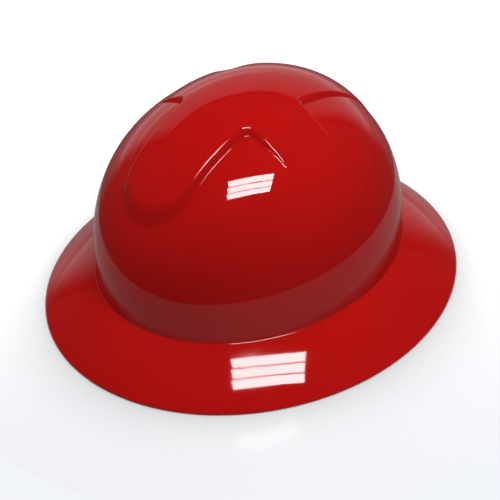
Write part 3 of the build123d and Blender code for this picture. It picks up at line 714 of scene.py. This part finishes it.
def strap_tree():
    """A strap swept along lines, with its width along Across and a slightly uneven face."""
    graph, given, result = new_tree("strap_tree", (
        ("Strap Width", "NodeSocketFloat", strap_width * mm),
        ("Strap Thickness", "NodeSocketFloat", strap_thickness * mm),
        ("Edge Radius", "NodeSocketFloat", 0.0005), ("Across", "NodeSocketVector", None),
        ("Unevenness", "NodeSocketFloat", 0.0001), ("Seed", "NodeSocketFloat", 3.0),
        ("Finish", "NodeSocketMaterial", None)))
    line = graph.node("GeometryNodeMeshToCurve")
    graph.feed(line.inputs["Mesh"], given["Lines"])
    flat = graph.node("GeometryNodeSetCurveNormal", mode="FREE")
    graph.feed(flat.inputs["Curve"], line.outputs[0])
    graph.feed(flat.inputs["Normal"], given["Across"])
    run = graph.node("GeometryNodeCaptureAttribute", domain="POINT")
    run.capture_items.new("FLOAT", "Along")
    graph.feed(run.inputs["Geometry"], flat.outputs[0])
    graph.feed(run.inputs["Along"], graph.node("GeometryNodeSplineParameter").outputs["Length"])
    outline = graph.node("GeometryNodeCurvePrimitiveQuadrilateral")
    graph.feed(outline.inputs["Width"], given["Strap Width"])
    graph.feed(outline.inputs["Height"], given["Strap Thickness"])
    rounded = graph.node("GeometryNodeFilletCurve", mode="POLY")
    graph.feed(rounded.inputs["Curve"], outline.outputs[0])
    rounded.inputs["Count"].default_value = 4
    graph.feed(rounded.inputs["Radius"], given["Edge Radius"])
    fine = graph.node("GeometryNodeResampleCurve", mode="LENGTH")
    graph.feed(fine.inputs["Curve"], rounded.outputs[0])
    fine.inputs["Length"].default_value = 0.0005
    side = graph.node("GeometryNodeCaptureAttribute", domain="POINT")
    side.capture_items.new("VECTOR", "Side")
    graph.feed(side.inputs["Geometry"], fine.outputs[0])
    graph.feed(side.inputs["Side"], graph.node("GeometryNodeInputPosition").outputs[0])
    swept = graph.node("GeometryNodeCurveToMesh")
    graph.feed(swept.inputs["Curve"], run.outputs["Geometry"])
    graph.feed(swept.inputs["Profile Curve"], side.outputs["Geometry"])
    swept.inputs["Fill Caps"].default_value = True
    both = graph.node("ShaderNodeCombineXYZ")
    graph.feed(both.inputs[0], run.outputs["Along"])
    graph.feed(both.inputs[1], graph.split(side.outputs["Side"])[0])
    mapped = graph.node("GeometryNodeStoreNamedAttribute", data_type="FLOAT2", domain="CORNER")
    graph.feed(mapped.inputs["Geometry"], swept.outputs[0])
    mapped.inputs["Name"].default_value = "UVMap"
    graph.feed([socket for socket in mapped.inputs if socket.name == "Value"
                and socket.enabled][0], both.outputs[0])
    rough = graph.node("ShaderNodeTexNoise", noise_dimensions="4D")
    graph.feed(rough.inputs["Vector"], graph.node("GeometryNodeInputPosition").outputs[0])
    graph.feed(rough.inputs["W"], given["Seed"])
    rough.inputs["Scale"].default_value = 260.0
    push = graph.math("MULTIPLY", graph.math("SUBTRACT", rough.outputs["Fac"], 0.6),
                      given["Unevenness"])
    away = graph.node("ShaderNodeVectorMath", operation="SCALE")
    graph.feed(away.inputs[0], graph.node("GeometryNodeInputNormal").outputs[0])
    graph.feed(away.inputs["Scale"], push)
    moved = graph.node("GeometryNodeSetPosition")
    graph.feed(moved.inputs["Geometry"], mapped.outputs[0])
    graph.feed(moved.inputs["Offset"], away.outputs[0])
    return finish_tree(graph, moved.outputs[0], given["Finish"], result)


def sewing_tree():
    """A row of stitches along lines: each is a bowed thread that lies on the side that the
    lines' facing attribute points to."""
    graph, given, result = new_tree("sewing_tree", (
        ("Stitch Pitch", "NodeSocketFloat", 0.0024),
        ("Stitch Reach", "NodeSocketFloat", 0.00095),
        ("Thread Radius", "NodeSocketFloat", 0.00028), ("Finish", "NodeSocketMaterial", None)))
    line = graph.node("GeometryNodeMeshToCurve")
    graph.feed(line.inputs["Mesh"], given["Lines"])
    spaced = graph.node("GeometryNodeResampleCurve", mode="LENGTH")
    graph.feed(spaced.inputs["Curve"], line.outputs[0])
    graph.feed(spaced.inputs["Length"], given["Stitch Pitch"])
    facing = graph.node("GeometryNodeInputNamedAttribute", data_type="FLOAT_VECTOR")
    facing.inputs["Name"].default_value = "facing"
    first = graph.node("FunctionNodeAlignRotationToVector", axis="X")
    graph.feed(first.inputs["Vector"], graph.node("GeometryNodeInputTangent").outputs[0])
    turned = graph.node("FunctionNodeAlignRotationToVector", axis="Z", pivot_axis="X")
    graph.feed(turned.inputs["Rotation"], first.outputs[0])
    graph.feed(turned.inputs["Vector"], facing.outputs["Attribute"])
    bow = graph.node("GeometryNodeCurveQuadraticBezier")
    bow.inputs["Resolution"].default_value = 5
    low = graph.math("MULTIPLY", given["Thread Radius"], -1.2)
    high = graph.math("MULTIPLY", given["Thread Radius"], 1.3)
    back = graph.math("MULTIPLY", given["Stitch Reach"], -1.0)
    for socket, out, level in (("Start", back, low), ("Middle", 0.0, high),
                               ("End", given["Stitch Reach"], low)):
        point = graph.node("ShaderNodeCombineXYZ")
        graph.feed(point.inputs[0], out)
        graph.feed(point.inputs[2], level)
        graph.feed(bow.inputs[socket], point.outputs[0])
    ring = graph.node("GeometryNodeCurvePrimitiveCircle")
    ring.inputs["Resolution"].default_value = 6
    graph.feed(ring.inputs["Radius"], given["Thread Radius"])
    thread = graph.node("GeometryNodeCurveToMesh")
    graph.feed(thread.inputs["Curve"], bow.outputs[0])
    graph.feed(thread.inputs["Profile Curve"], ring.outputs[0])
    thread.inputs["Fill Caps"].default_value = True
    copies = graph.node("GeometryNodeInstanceOnPoints")
    graph.feed(copies.inputs["Points"], spaced.outputs[0])
    graph.feed(copies.inputs["Instance"], thread.outputs[0])
    graph.feed(copies.inputs["Rotation"], turned.outputs[0])
    return finish_tree(graph, copies.outputs[0], given["Finish"], result)


def grown(name, tree, lines, facings, body, slot, **values):
    """The piece that a tree makes of these lines in millimetres, as a plain mesh. Each point of
    a line has a facing, a direction that the tree can read."""
    points, edges, outwards = [], [], []
    for line, facing in zip(lines, facings):
        edges += [(len(points) + j, len(points) + j + 1) for j in range(len(line) - 1)]
        points += [tuple(mm * part for part in point) for point in line]
        outwards += [tuple(part) for part in facing]
    mesh = bpy.data.meshes.new(name)
    mesh.from_pydata(points, edges, [])
    stored = mesh.attributes.new("facing", "FLOAT_VECTOR", "POINT")
    stored.data.foreach_set("vector", np.asarray(outwards, float).ravel())
    piece = in_scene(name, mesh)
    grow = piece.modifiers.new("grow", "NODES")
    grow.node_group = tree
    for item in tree.interface.items_tree:
        if item.in_out == "INPUT" and item.name in values:
            grow[item.identifier] = values[item.name]
    final = evaluated_mesh(piece)
    piece.modifiers.clear()
    piece.data = final
    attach(piece, body)
    return piece


def strap_end(reach, rise):
    """One end of a strap, outwards and up from its bar: down the sewn layer on the outside,
    round the bar and up to the seam on the inside."""
    levels = np.linspace(sewn_level, seam_level, 21)
    outer = np.stack([(reach + strap_thickness)
                      * np.sqrt(1 - (levels / (rise + strap_thickness)) ** 2), levels], 1)
    seam = np.array([reach * math.sqrt(1 - (seam_level / rise) ** 2), seam_level])
    bar = np.array([reach, 0.0])
    turns = []
    for point, way in ((outer[-1], -1), (seam, 1)):
        off = point - bar
        turns.append(math.atan2(off[1], off[0])
                     + way * math.acos(eye_radius / np.hypot(*off)))
    around = np.linspace(turns[0], turns[1] - 2 * math.pi, 25)
    circle = np.stack([reach + eye_radius * np.cos(around), eye_radius * np.sin(around)], 1)
    return np.concatenate([outer, circle, seam[None]])


def strap_line(reach, rise):
    """A strap's whole path, outwards and up from its bars' level, in even steps."""
    end = strap_end(reach, rise)
    start = math.asin(seam_level / rise)
    arc = np.linspace(start, math.pi - start, 181)[1:-1]
    over = np.stack([reach * np.cos(arc), rise * np.sin(arc)], 1)
    line = np.concatenate([end, over, end[::-1] * (-1, 1)])
    walked = np.concatenate([[0], np.cumsum(np.hypot(*np.diff(line, axis=0).T))])
    even = np.linspace(0, walked[-1], int(walked[-1] / strap_step))
    line = np.stack([np.interp(even, walked, line[:, j]) for j in (0, 1)], 1)
    soft = line.copy()
    soft[1:-1] = 0.25 * line[:-2] + 0.5 * line[1:-1] + 0.25 * line[2:]
    return soft


def strap_seams(reach, rise):
    """The sewn box and cross on both faces of a strap's two ends: outwards, across, up, and
    the way that each face looks."""
    box = [(box_low, -box_half_width), (box_high, -box_half_width),
           (box_high, box_half_width), (box_low, box_half_width), (box_low, -box_half_width)]
    low, high = box_low + cross_inset, box_high - cross_inset
    half_width = box_half_width - cross_inset
    crosses = [[(low, -half_width), (high, half_width)],
               [(high, -half_width), (low, half_width)]]
    outside = 1.5 * strap_thickness + thread_proud
    inside = -0.5 * strap_thickness - thread_proud
    lines, facings = [], []
    for end in (1, -1):
        for face, side in ((outside, 1), (inside, -1)):
            for corners in (box, *crosses):
                line, facing = [], []
                for (level, across), (to_level, to_across) in zip(corners, corners[1:]):
                    for share in np.linspace(0, 1, seam_steps + 1):
                        if share == 0 and line:
                            continue
                        z = level + (to_level - level) * share
                        out = (reach + face) * math.sqrt(1 - (z / (rise + face)) ** 2)
                        normal = Vector((out / reach ** 2, 0, z / rise ** 2)).normalized()
                        line.append((end * out, across + (to_across - across) * share, z))
                        facing.append((end * side * normal[0], 0, side * normal[2]))
                lines.append(line)
                facings.append(facing)
    return lines, facings


def make_webbing(weave, sewing, thread):
    straps = strap_tree()
    lines, facings = [], []
    for number, (name, (turn, reach, rise)) in enumerate(webbings.items()):
        path = [(out, 0.0, up) for out, up in strap_line(reach, rise)]
        path = placed(path, turn, bar_level)
        across = (-math.sin(math.radians(turn)), math.cos(math.radians(turn)), 0.0)
        strap = grown("strap_" + name, straps, [path], [[across] * len(path)], "shell",
                      "webbing", Across=across, Seed=3.0 + number, Finish=weave)
        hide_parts(name)
        for line, facing in zip(*strap_seams(reach, rise)):
            lines.append(placed(line, turn, bar_level))
            facings.append(placed(facing, turn, 0.0))
    grown("webbing_stitches", sewing, lines, facings, "shell", "webbing", Finish=thread)


thread_finish = sewing_thread("sewing_thread_dark", (0.17, 0.17, 0.18))
sewing = sewing_tree()
make_webbing(strap_weave(), sewing, thread_finish)

# Pads

# The pads' cloth is simulated ten times enlarged, so that a millimetre is 0.01 there. The cloth
# swells by swell_most, and is held within seam_hold of a sewn channel and edge_hold of the seam
# that runs edge_seam inside the pad's start.
to_cloth, from_cloth, cloth_voxel = 0.01, 100.0, 0.017
swell_most, pad_corner = 1.1, 6.0
edge_seam, edge_hold, seam_hold, held_level = 2.6, 0.9, 1.0, 1.0
# Its face is grooved along the seams, from face_start of the thickness on, and less at the edge.
groove_width, groove_depth, edge_groove, face_start, face_run = 0.8, 0.9, 0.8, 0.45, 0.2
back_level, thread_lift, thread_step, above_pad = 0.02, 0.12, 1.5, 20.0


def pad_start(half, tall, thickness):
    """The closed form that swells into a pad, in rings that each lie so far in from its outline
    at their level."""
    points, faces, outline = [], [], []
    corner = min(pad_corner, tall * 0.6)
    for turn in range(0, 360, 10):
        cos, sin = math.cos(math.radians(turn)), math.sin(math.radians(turn))
        outline.append((math.copysign(half - corner, cos) + corner * cos,
                        math.copysign(tall - corner, sin) + corner * sin))
    count = len(outline)
    rings = ((1.2, 0.35), (0.0, 1.2), (0.0, 0.6 * thickness), (1.6, 0.82 * thickness))
    for shrink, level in rings:
        for u, v in outline:
            points.append((u * (1 - shrink / half), v * (1 - shrink / tall), level))
    for row in range(len(rings) - 1):
        for j in range(count):
            k = (j + 1) % count
            faces.append((row * count + j, row * count + k, (row + 1) * count + k,
                          (row + 1) * count + j))
    faces.append(tuple(range(count - 1, -1, -1)))
    faces.append(tuple(range(len(points) - count, len(points))))
    mesh = bpy.data.meshes.new("pad_start")
    mesh.from_pydata([tuple(to_cloth * part for part in point) for point in points], [], faces)
    pad = in_scene("pad_start", mesh)
    remesh = pad.modifiers.new("even", "REMESH")
    remesh.mode, remesh.voxel_size = "VOXEL", cloth_voxel
    pad.data = evaluated_mesh(pad)
    pad.modifiers.clear()
    return pad


def seams_near(points, half, tall, channels):
    """How far points lie from the nearest sewn channel, and from the seam along the edge."""
    seam = np.min([np.abs(points[:, 0] - place) for place in channels], axis=0)
    edge = np.minimum(half - np.abs(points[:, 0]), tall - np.abs(points[:, 1]))
    return seam, edge - edge_seam


def swollen(pad, start, held):
    """Where the cloth's points are once it is blown up, no further off than swell_most."""
    group = pad.vertex_groups.new(name="held")
    group.add(np.flatnonzero(held).tolist(), 1.0, "REPLACE")
    cloth = pad.modifiers.new("swell", "CLOTH")
    settings = cloth.settings
    settings.quality, settings.mass = 5, 0.3
    settings.tension_stiffness = settings.compression_stiffness = 12.0
    settings.bending_stiffness = 0.4
    settings.use_pressure, settings.uniform_pressure_force = True, 4.0
    settings.vertex_group_mass = "held"
    settings.effector_weights.gravity = 0.0
    cloth.collision_settings.use_collision = False
    cloth.collision_settings.use_self_collision = False
    scene = bpy.context.scene
    for moment in range(1, 21):
        scene.frame_set(moment)
        graph = bpy.context.evaluated_depsgraph_get()
    blown = pad.evaluated_get(graph).to_mesh()
    final = np.array([vertex.co[:] for vertex in blown.vertices])
    pad.evaluated_get(graph).to_mesh_clear()
    pad.modifiers.clear()
    scene.frame_set(1)
    moved = final - start
    far = np.linalg.norm(moved, axis=1)
    cap = swell_most * to_cloth
    return start + moved * np.minimum(1, cap / np.maximum(far, 1e-9))[:, None]


def flat_pad(length, height, thickness, channels):
    """A pad laid flat, swollen by a cloth simulation between its sewn edge and channels, and
    flat on its back. Its points are along, up and inwards from the band, in millimetres."""
    half, tall = length / 2 - swell_most, height / 2 - swell_most
    pad = pad_start(half, tall, thickness)
    start = np.array([vertex.co[:] for vertex in pad.data.vertices])
    seam, edge = seams_near(start * from_cloth, half, tall, channels)
    held = start[:, 2] * from_cloth < held_level
    held |= (seam < seam_hold) | (np.abs(edge) < edge_hold)
    final = swollen(pad, start, held)
    pad.data.vertices.foreach_set("co", final.ravel())
    finer = pad.modifiers.new("finer", "SUBSURF")
    finer.levels = finer.render_levels = 1
    mesh = evaluated_mesh(pad)
    bpy.data.objects.remove(pad)
    points = from_cloth * np.array([vertex.co[:] for vertex in mesh.vertices])
    faces = [tuple(face.vertices) for face in mesh.polygons]
    bpy.data.meshes.remove(mesh)
    seam, edge = seams_near(points, half, tall, channels)
    front = np.clip((points[:, 2] - face_start * thickness) / (face_run * thickness), 0, 1)
    groove = np.exp(-(seam / groove_width) ** 2)
    groove += edge_groove * np.exp(-(edge / groove_width) ** 2)
    points[:, 2] -= groove_depth * front * np.clip(groove, 0, 1)
    points[:, 0] = np.clip(points[:, 0], -length / 2, length / 2)
    points[:, 1] = np.clip(points[:, 1], -height / 2, height / 2)
    points[:, 2] = np.clip(points[:, 2], back_level, thickness)
    return points, faces, half - edge_seam, tall - edge_seam


def make_pad(name, node, centre, turn, inner, outer, spread, low, high, channels, finish):
    """A pad against the band, whose arc has its centre at this y: its direction, radii, half
    spread in degrees, levels, and the places of its channels along it."""
    reach = (inner + outer) / 2
    length = 2 * math.radians(spread) * reach
    thickness = outer - inner
    flat, faces, seam_half, seam_tall = flat_pad(length, high - low, thickness, channels)

    def bent(points):
        angles = math.radians(turn) - points[:, 0] / reach
        radius = outer - points[:, 2]
        return np.stack([radius * np.cos(angles), centre + radius * np.sin(angles),
                         points[:, 1] + (low + high) / 2], 1)

    pad = new_piece(name, bent(flat), faces, "headband", finish)
    layer = pad.data.uv_layers.new(name="UVMap")
    corners = np.zeros(len(pad.data.loops), int)
    pad.data.loops.foreach_get("vertex_index", corners)
    places = np.stack([flat[corners, 0], flat[corners, 1] + flat[corners, 2]], 1) * mm
    layer.data.foreach_set("uv", places.ravel())
    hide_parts(node)
    ball = BVHTree.FromPolygons(flat.tolist(), faces)
    lines, facings = [], []
    ring = [(-seam_half, -seam_tall), (seam_half, -seam_tall), (seam_half, seam_tall),
            (-seam_half, seam_tall), (-seam_half, -seam_tall)]
    rows = [ring] + [[(place, -seam_tall), (place, seam_tall)] for place in channels]
    for corners in rows:
        line = []
        for (u, v), (to_u, to_v) in zip(corners, corners[1:]):
            steps = 2 + int(math.hypot(to_u - u, to_v - v) / thread_step)
            for share in np.linspace(0, 1, steps):
                at = (u + (to_u - u) * share, v + (to_v - v) * share)
                hit = ball.ray_cast(Vector((*at, above_pad)), Vector((0, 0, -1)))[0]
                if hit is not None and not (share == 0 and line):
                    line.append((*at, hit[2] + thread_lift))
        line = np.array(line)
        lines.append(bent(line).tolist())
        angles = math.radians(turn) - line[:, 0] / reach
        facings.append(np.stack([-np.cos(angles), -np.sin(angles), 0 * angles], 1).tolist())
    grown(name + "_stitches", sewing, lines, facings, "headband", "pad_fabric",
          Finish=thread_finish)


# pad_dark is painted shade between the loops; pad_light is the cloth's own colour.
pad_dark, pad_light = (0.030, 0.030, 0.033), (0.085, 0.085, 0.090)
brow_finish = pad_cloth("brow_pad_cloth", pad_dark, pad_light)
nape_finish = pad_cloth("nape_pad_cloth", pad_dark, pad_light)
make_pad("brow_sweatband", "brow_pad", centre=-24.0, turn=-90.0, inner=71.9, outer=76.9,
         spread=43.0, low=8.0, high=40.0, channels=(-33.0, -11.0, 11.0, 33.0),
         finish=brow_finish)
make_pad("nape_cushion", "nape_pad", centre=14.0, turn=90.0, inner=70.5, outer=76.5,
         spread=30.0, low=11.5, high=36.5, channels=(-13.0, 13.0), finish=nape_finish)

# Finishes of the solids

finishes = {
    "key": moulded_plastic("key_plastic_finish", (0.018, 0.018, 0.020), (0.030, 0.030, 0.033),
                           0.38),
    "band": moulded_plastic("band_plastic_finish", (0.020, 0.020, 0.022),
                            (0.034, 0.034, 0.037), 0.42),
    "strap": moulded_plastic("strap_plastic_finish", (0.024, 0.024, 0.027),
                             (0.040, 0.040, 0.044), 0.36, grain=1300.0),
    "ratchet": moulded_plastic("ratchet_plastic_finish", (0.016, 0.016, 0.018),
                               (0.028, 0.028, 0.030), 0.34),
    "gear": moulded_plastic("gear_plastic_finish", (0.55, 0.54, 0.50), (0.66, 0.65, 0.61),
                            0.30, wear=0.2),
    "knob": moulded_plastic("knob_plastic_finish", (0.014, 0.014, 0.016),
                            (0.026, 0.026, 0.028), 0.46, grain=700.0),
    "steel": turned_steel("screw_steel_finish", (0.60, 0.60, 0.58), 0.22),
    "spring": turned_steel("spring_steel_finish", (0.50, 0.50, 0.49), 0.24),
}
node_finishes = {
    "headband": "band", "closing_strap_left": "strap", "closing_strap_right": "strap",
    "ratchet_base": "ratchet", "ratchet_cover": "ratchet", "pinion_gear": "gear",
    "knob": "knob", "knob_screw": "steel", "housing_screws": "steel", "crown_rivet": "key",
    "click_spring": "spring",
}
node_finishes.update({name: "key" for name in key_turns})
for name, finish in node_finishes.items():
    node = nodes[name]
    if not node.data.materials:
        node.data.materials.append(finishes[finish])
    for place in node.material_slots:
        place.material = finishes[finish]

# Stage, lamps and camera

# In metres from here on: the round table that the hat stands on and the width of its soft edge;
# the floor's rings and how far it lies below the hat; and the curved sweep behind the hat, by
# its foot's radius, its cove, its height and its spread in degrees.
table_radius, table_edge = 0.234, 0.008
floor_rings, floor_sink = (0.4, 0.8, 1.6, 3.2, 7.0, 14.0), 0.00005
sweep_foot, sweep_cove, sweep_height, sweep_spread = 1.45, 0.35, 1.25, 100
sweep_turn, sweep_cove_share, sweep_lift = 135, 0.4, 0.00002


def stage_finish(name, pale, seen, mirrored):
    """Pale paper with a fine fibre. What the lens sees of it is lifted by a glow, and what the
    gloss and clear things see by another, so that it looks evenly lit while the object's
    shadow stays on it."""
    finish, graph, shader, place = new_finish(name, (0.8, 0.8, 0.8))
    fibre = graph.noise(place, scale=700.0, detail=3.0, roughness=0.6)
    fibre = graph.remap(fibre, 0.3, 0.7, 0.985, 1.0)
    graph.feed(shader.inputs["Base Color"], graph.vector("SCALE", pale(graph, place)))
    scaled = shader.inputs["Base Color"].links[0].from_node
    graph.feed(scaled.inputs["Scale"], fibre)
    shader.inputs["Roughness"].default_value = 0.14
    shader.inputs["Specular IOR Level"].default_value = 0.9
    rays = graph.node("ShaderNodeLightPath")
    clear = graph.math("MAXIMUM", rays.outputs["Is Glossy Ray"],
                       rays.outputs["Is Transmission Ray"])
    total = shader.outputs[0]
    for colour, share in ((seen(graph, place), rays.outputs["Is Camera Ray"]),
                          (mirrored(graph, place), clear)):
        glow = graph.node("ShaderNodeEmission")
        graph.feed(glow.inputs["Color"], colour)
        graph.feed(glow.inputs["Strength"], share)
        both = graph.node("ShaderNodeAddShader")
        graph.feed(both.inputs[0], total)
        graph.feed(both.inputs[1], glow.outputs[0])
        total = both.outputs[0]
    graph.feed(finish.node_tree.nodes["Material Output"].inputs["Surface"], total)
    return finish


def on_table(graph, place):
    """1 on the round table that the hat stands on, and 0 beyond it."""
    spot = graph.vector("LENGTH", graph.vector("MULTIPLY", place, (1.0, 1.0, 0.0)), out=1)
    return graph.remap(spot, table_radius, table_radius + table_edge, 1.0, 0.0, smooth=True)


def towards_lens(graph, place, start, end):
    """0 before the start and 1 beyond the end, in metres from the hat towards the lens."""
    x, y, _ = graph.split(place)
    diagonal = 0.7071
    forward = graph.math("SUBTRACT", graph.math("MULTIPLY", x, diagonal),
                         graph.math("MULTIPLY", y, diagonal))
    return graph.remap(forward, start, end, smooth=True)


def floor_pale(graph, place):
    return graph.blend(on_table(graph, place), (0.05, 0.05, 0.052), (0.30, 0.30, 0.305))


def floor_seen(graph, place):
    """Painted light: white behind the hat and greyer towards the lens, with a painted shadow
    close under the brim, where ambient occlusion dims the glow.
    """
    # Painted light: the glow fades from white behind the hat to grey towards the lens.
    near = towards_lens(graph, place, -0.16, 0.24)
    table = graph.blend(near, (1.02, 1.02, 1.02), (0.52, 0.535, 0.56))
    beyond = graph.blend(near, (1.12, 1.12, 1.12), (0.83, 0.85, 0.88))
    # Painted shadow: ambient occlusion darkens the glow close to the hat.
    corner = graph.node("ShaderNodeAmbientOcclusion", samples=8)
    corner.inputs["Distance"].default_value = 0.085
    painted_shadow_factor = graph.remap(corner.outputs["AO"], 0.6, 0.99, 0.05, 1.0, smooth=True)
    scaled = graph.node("ShaderNodeVectorMath", operation="SCALE")
    graph.feed(scaled.inputs[0], graph.blend(on_table(graph, place), beyond, table))
    graph.feed(scaled.inputs["Scale"], painted_shadow_factor)
    return scaled.outputs[0]


def floor_mirrored(graph, place):
    return graph.blend(on_table(graph, place), (0.0, 0.0, 0.0), (0.01, 0.01, 0.01))


def sweep_edges(graph, place):
    """1 in the middle of the sweep, falling softly to 0 at its top and its two ends."""
    x, y, z = graph.split(place)
    side = graph.math("ARCTAN2", graph.math("ADD", x, y), graph.math("SUBTRACT", y, x))
    side = graph.remap(graph.math("ABSOLUTE", side), 0.62, 0.85, 1.0, 0.0, smooth=True)
    top = graph.remap(z, 1.38, 1.56, 1.0, 0.0, smooth=True)
    return graph.math("MULTIPLY", side, top)


def sweep_pale(graph, place):
    cloud = graph.noise(place, scale=1.2, detail=1.0)
    return graph.blend(cloud, (0.16, 0.16, 0.16), (0.18, 0.18, 0.18))


def sweep_seen(graph, place):
    cloud = graph.noise(place, scale=1.2, detail=1.0)
    return graph.blend(cloud, (0.95, 0.95, 0.95), (1.0, 1.0, 1.0))


def sweep_mirrored(graph, place):
    height = graph.split(place)[2]
    tone = graph.blend(graph.remap(height, 0.05, 0.5, smooth=True), (0.54, 0.54, 0.54),
                       (0.35, 0.35, 0.355))
    return graph.blend(sweep_edges(graph, place), (0.0, 0.0, 0.0), tone)


def make_floor():
    count = 96
    points, faces = [(0, 0, -floor_sink)], []
    for radius in floor_rings:
        for j in range(count):
            turn = 2 * math.pi * j / count
            points.append((radius * math.cos(turn), radius * math.sin(turn), -floor_sink))
    for j in range(count):
        faces.append((0, 1 + j, 1 + (j + 1) % count))
    for row in range(len(floor_rings) - 1):
        for j in range(count):
            k = (j + 1) % count
            a, b = 1 + row * count, 1 + (row + 1) * count
            faces.append((a + j, b + j, b + k, a + k))
    floor = new_piece("studio_floor", np.array(points) / mm, faces, None,
                      stage_finish("floor_paper", floor_pale, floor_seen, floor_mirrored))


def make_sweep():
    points, faces = [], []
    columns, rows = 40, 16
    for i in range(columns + 1):
        turn = math.radians(sweep_turn + (i / columns - 0.5) * sweep_spread)
        for j in range(rows + 1):
            share = j / rows
            bend = min(1.0, share / sweep_cove_share) * math.pi / 2
            wall = max(0.0, (share - sweep_cove_share) / (1 - sweep_cove_share))
            radius = sweep_foot + sweep_cove * math.sin(bend)
            level = sweep_cove * (1 - math.cos(bend)) + wall * sweep_height
            points.append((radius * math.cos(turn), radius * math.sin(turn),
                           level + sweep_lift))
    for i in range(columns):
        for j in range(rows):
            a = i * (rows + 1) + j
            faces.append((a, a + 1, a + rows + 2, a + rows + 1))
    sweep = new_piece("studio_sweep", np.array(points) / mm, faces, None,
                      stage_finish("sweep_paper", sweep_pale, sweep_seen, sweep_mirrored))


def turned_to(place, x, y, z):
    """The matrix that puts a lamp or camera at this place, with these axes."""
    turned = Matrix((x, y, z)).transposed().to_4x4()
    turned.translation = Vector(place)
    return turned


def area_lamp(name, middle, aim, along, width, height, radiance):
    """A flat lamp of this brightness that shines at a point, with its width along a line."""
    data = bpy.data.lights.new(name, "AREA")
    data.shape = "RECTANGLE"
    data.size, data.size_y = width, height
    data.energy = radiance * math.pi * width * height
    lamp = in_scene(name, data)
    z = (Vector(middle) - Vector(aim)).normalized()
    y = z.cross(Vector(along)).normalized()
    lamp.matrix_world = turned_to(middle, y.cross(z), y, z)
    return lamp


def make_lamps():
    """Three strips of a ceiling light, and two broad soft fills that the gloss doesn't show."""
    middle = Vector((0.430, -0.162, 0.90))
    along = Vector((0.605, 0.796, 0.0)).normalized()
    across = Vector((0.796, -0.605, 0.0)).normalized()
    strip_length, strip_width, strip_pitch, strip_stagger = 0.47, 0.080, 0.091, 0.008
    strip_growth, strip_radiance = 0.016, 24.5
    for row in (-1, 0, 1):
        place = middle + across * row * strip_pitch - along * row * strip_stagger
        area_lamp("ceiling_strip_%d" % row, place, place - Vector((0, 0, 1)), along,
                  strip_length + strip_growth * row, strip_width, strip_radiance)
    fill_aim, fill_width, fill_height = (0, 0, 0.08), 1.3, 1.0
    for name, place, radiance in (("fill_left", (-1.15, -0.55, 0.85), 3.0),
                                  ("fill_right", (0.45, 1.25, 1.00), 2.7)):
        fill = area_lamp(name, place, fill_aim, (0.0, 0.0, 1.0), fill_width, fill_height,
                         radiance)
        fill.visible_glossy = False


def make_world():
    """Dim air all round, which the lens sees as white."""
    world = bpy.data.worlds.new("studio_air")
    bpy.context.scene.world = world
    world.use_nodes = True
    graph = Graph(world.node_tree)
    back = world.node_tree.nodes["Background"]
    direction = graph.node("ShaderNodeTexCoord").outputs["Generated"]
    dim = graph.blend(graph.remap(graph.split(direction)[2], 0.0, 1.0), (0.07, 0.07, 0.073),
                      (0.05, 0.05, 0.052))
    rays = graph.node("ShaderNodeLightPath")
    graph.feed(back.inputs["Color"], graph.blend(rays.outputs["Is Camera Ray"], dim,
                                                 (1.0, 1.0, 1.0)))
    back.inputs["Strength"].default_value = 1.0


def place_camera():
    """The camera that was fitted to the photograph's outline."""
    data = bpy.data.cameras.new("photo_camera")
    data.lens, data.sensor_width = 98.43, 36.0
    data.clip_start, data.clip_end = 0.01, 100.0
    camera = in_scene("photo_camera", data)
    x = Vector((0.73055115, 0.6813652, -0.04512726))
    y = Vector((-0.38901983, 0.46959365, 0.79255623))
    z = Vector((0.56121171, -0.56144747, 0.60812676))
    camera.matrix_world = turned_to((0.5498, -0.5515, 0.6148), x, y, z)
    bpy.context.scene.camera = camera


make_floor()
make_sweep()
make_lamps()
make_world()
place_camera()
bpy.context.scene.view_settings.view_transform = "Standard"
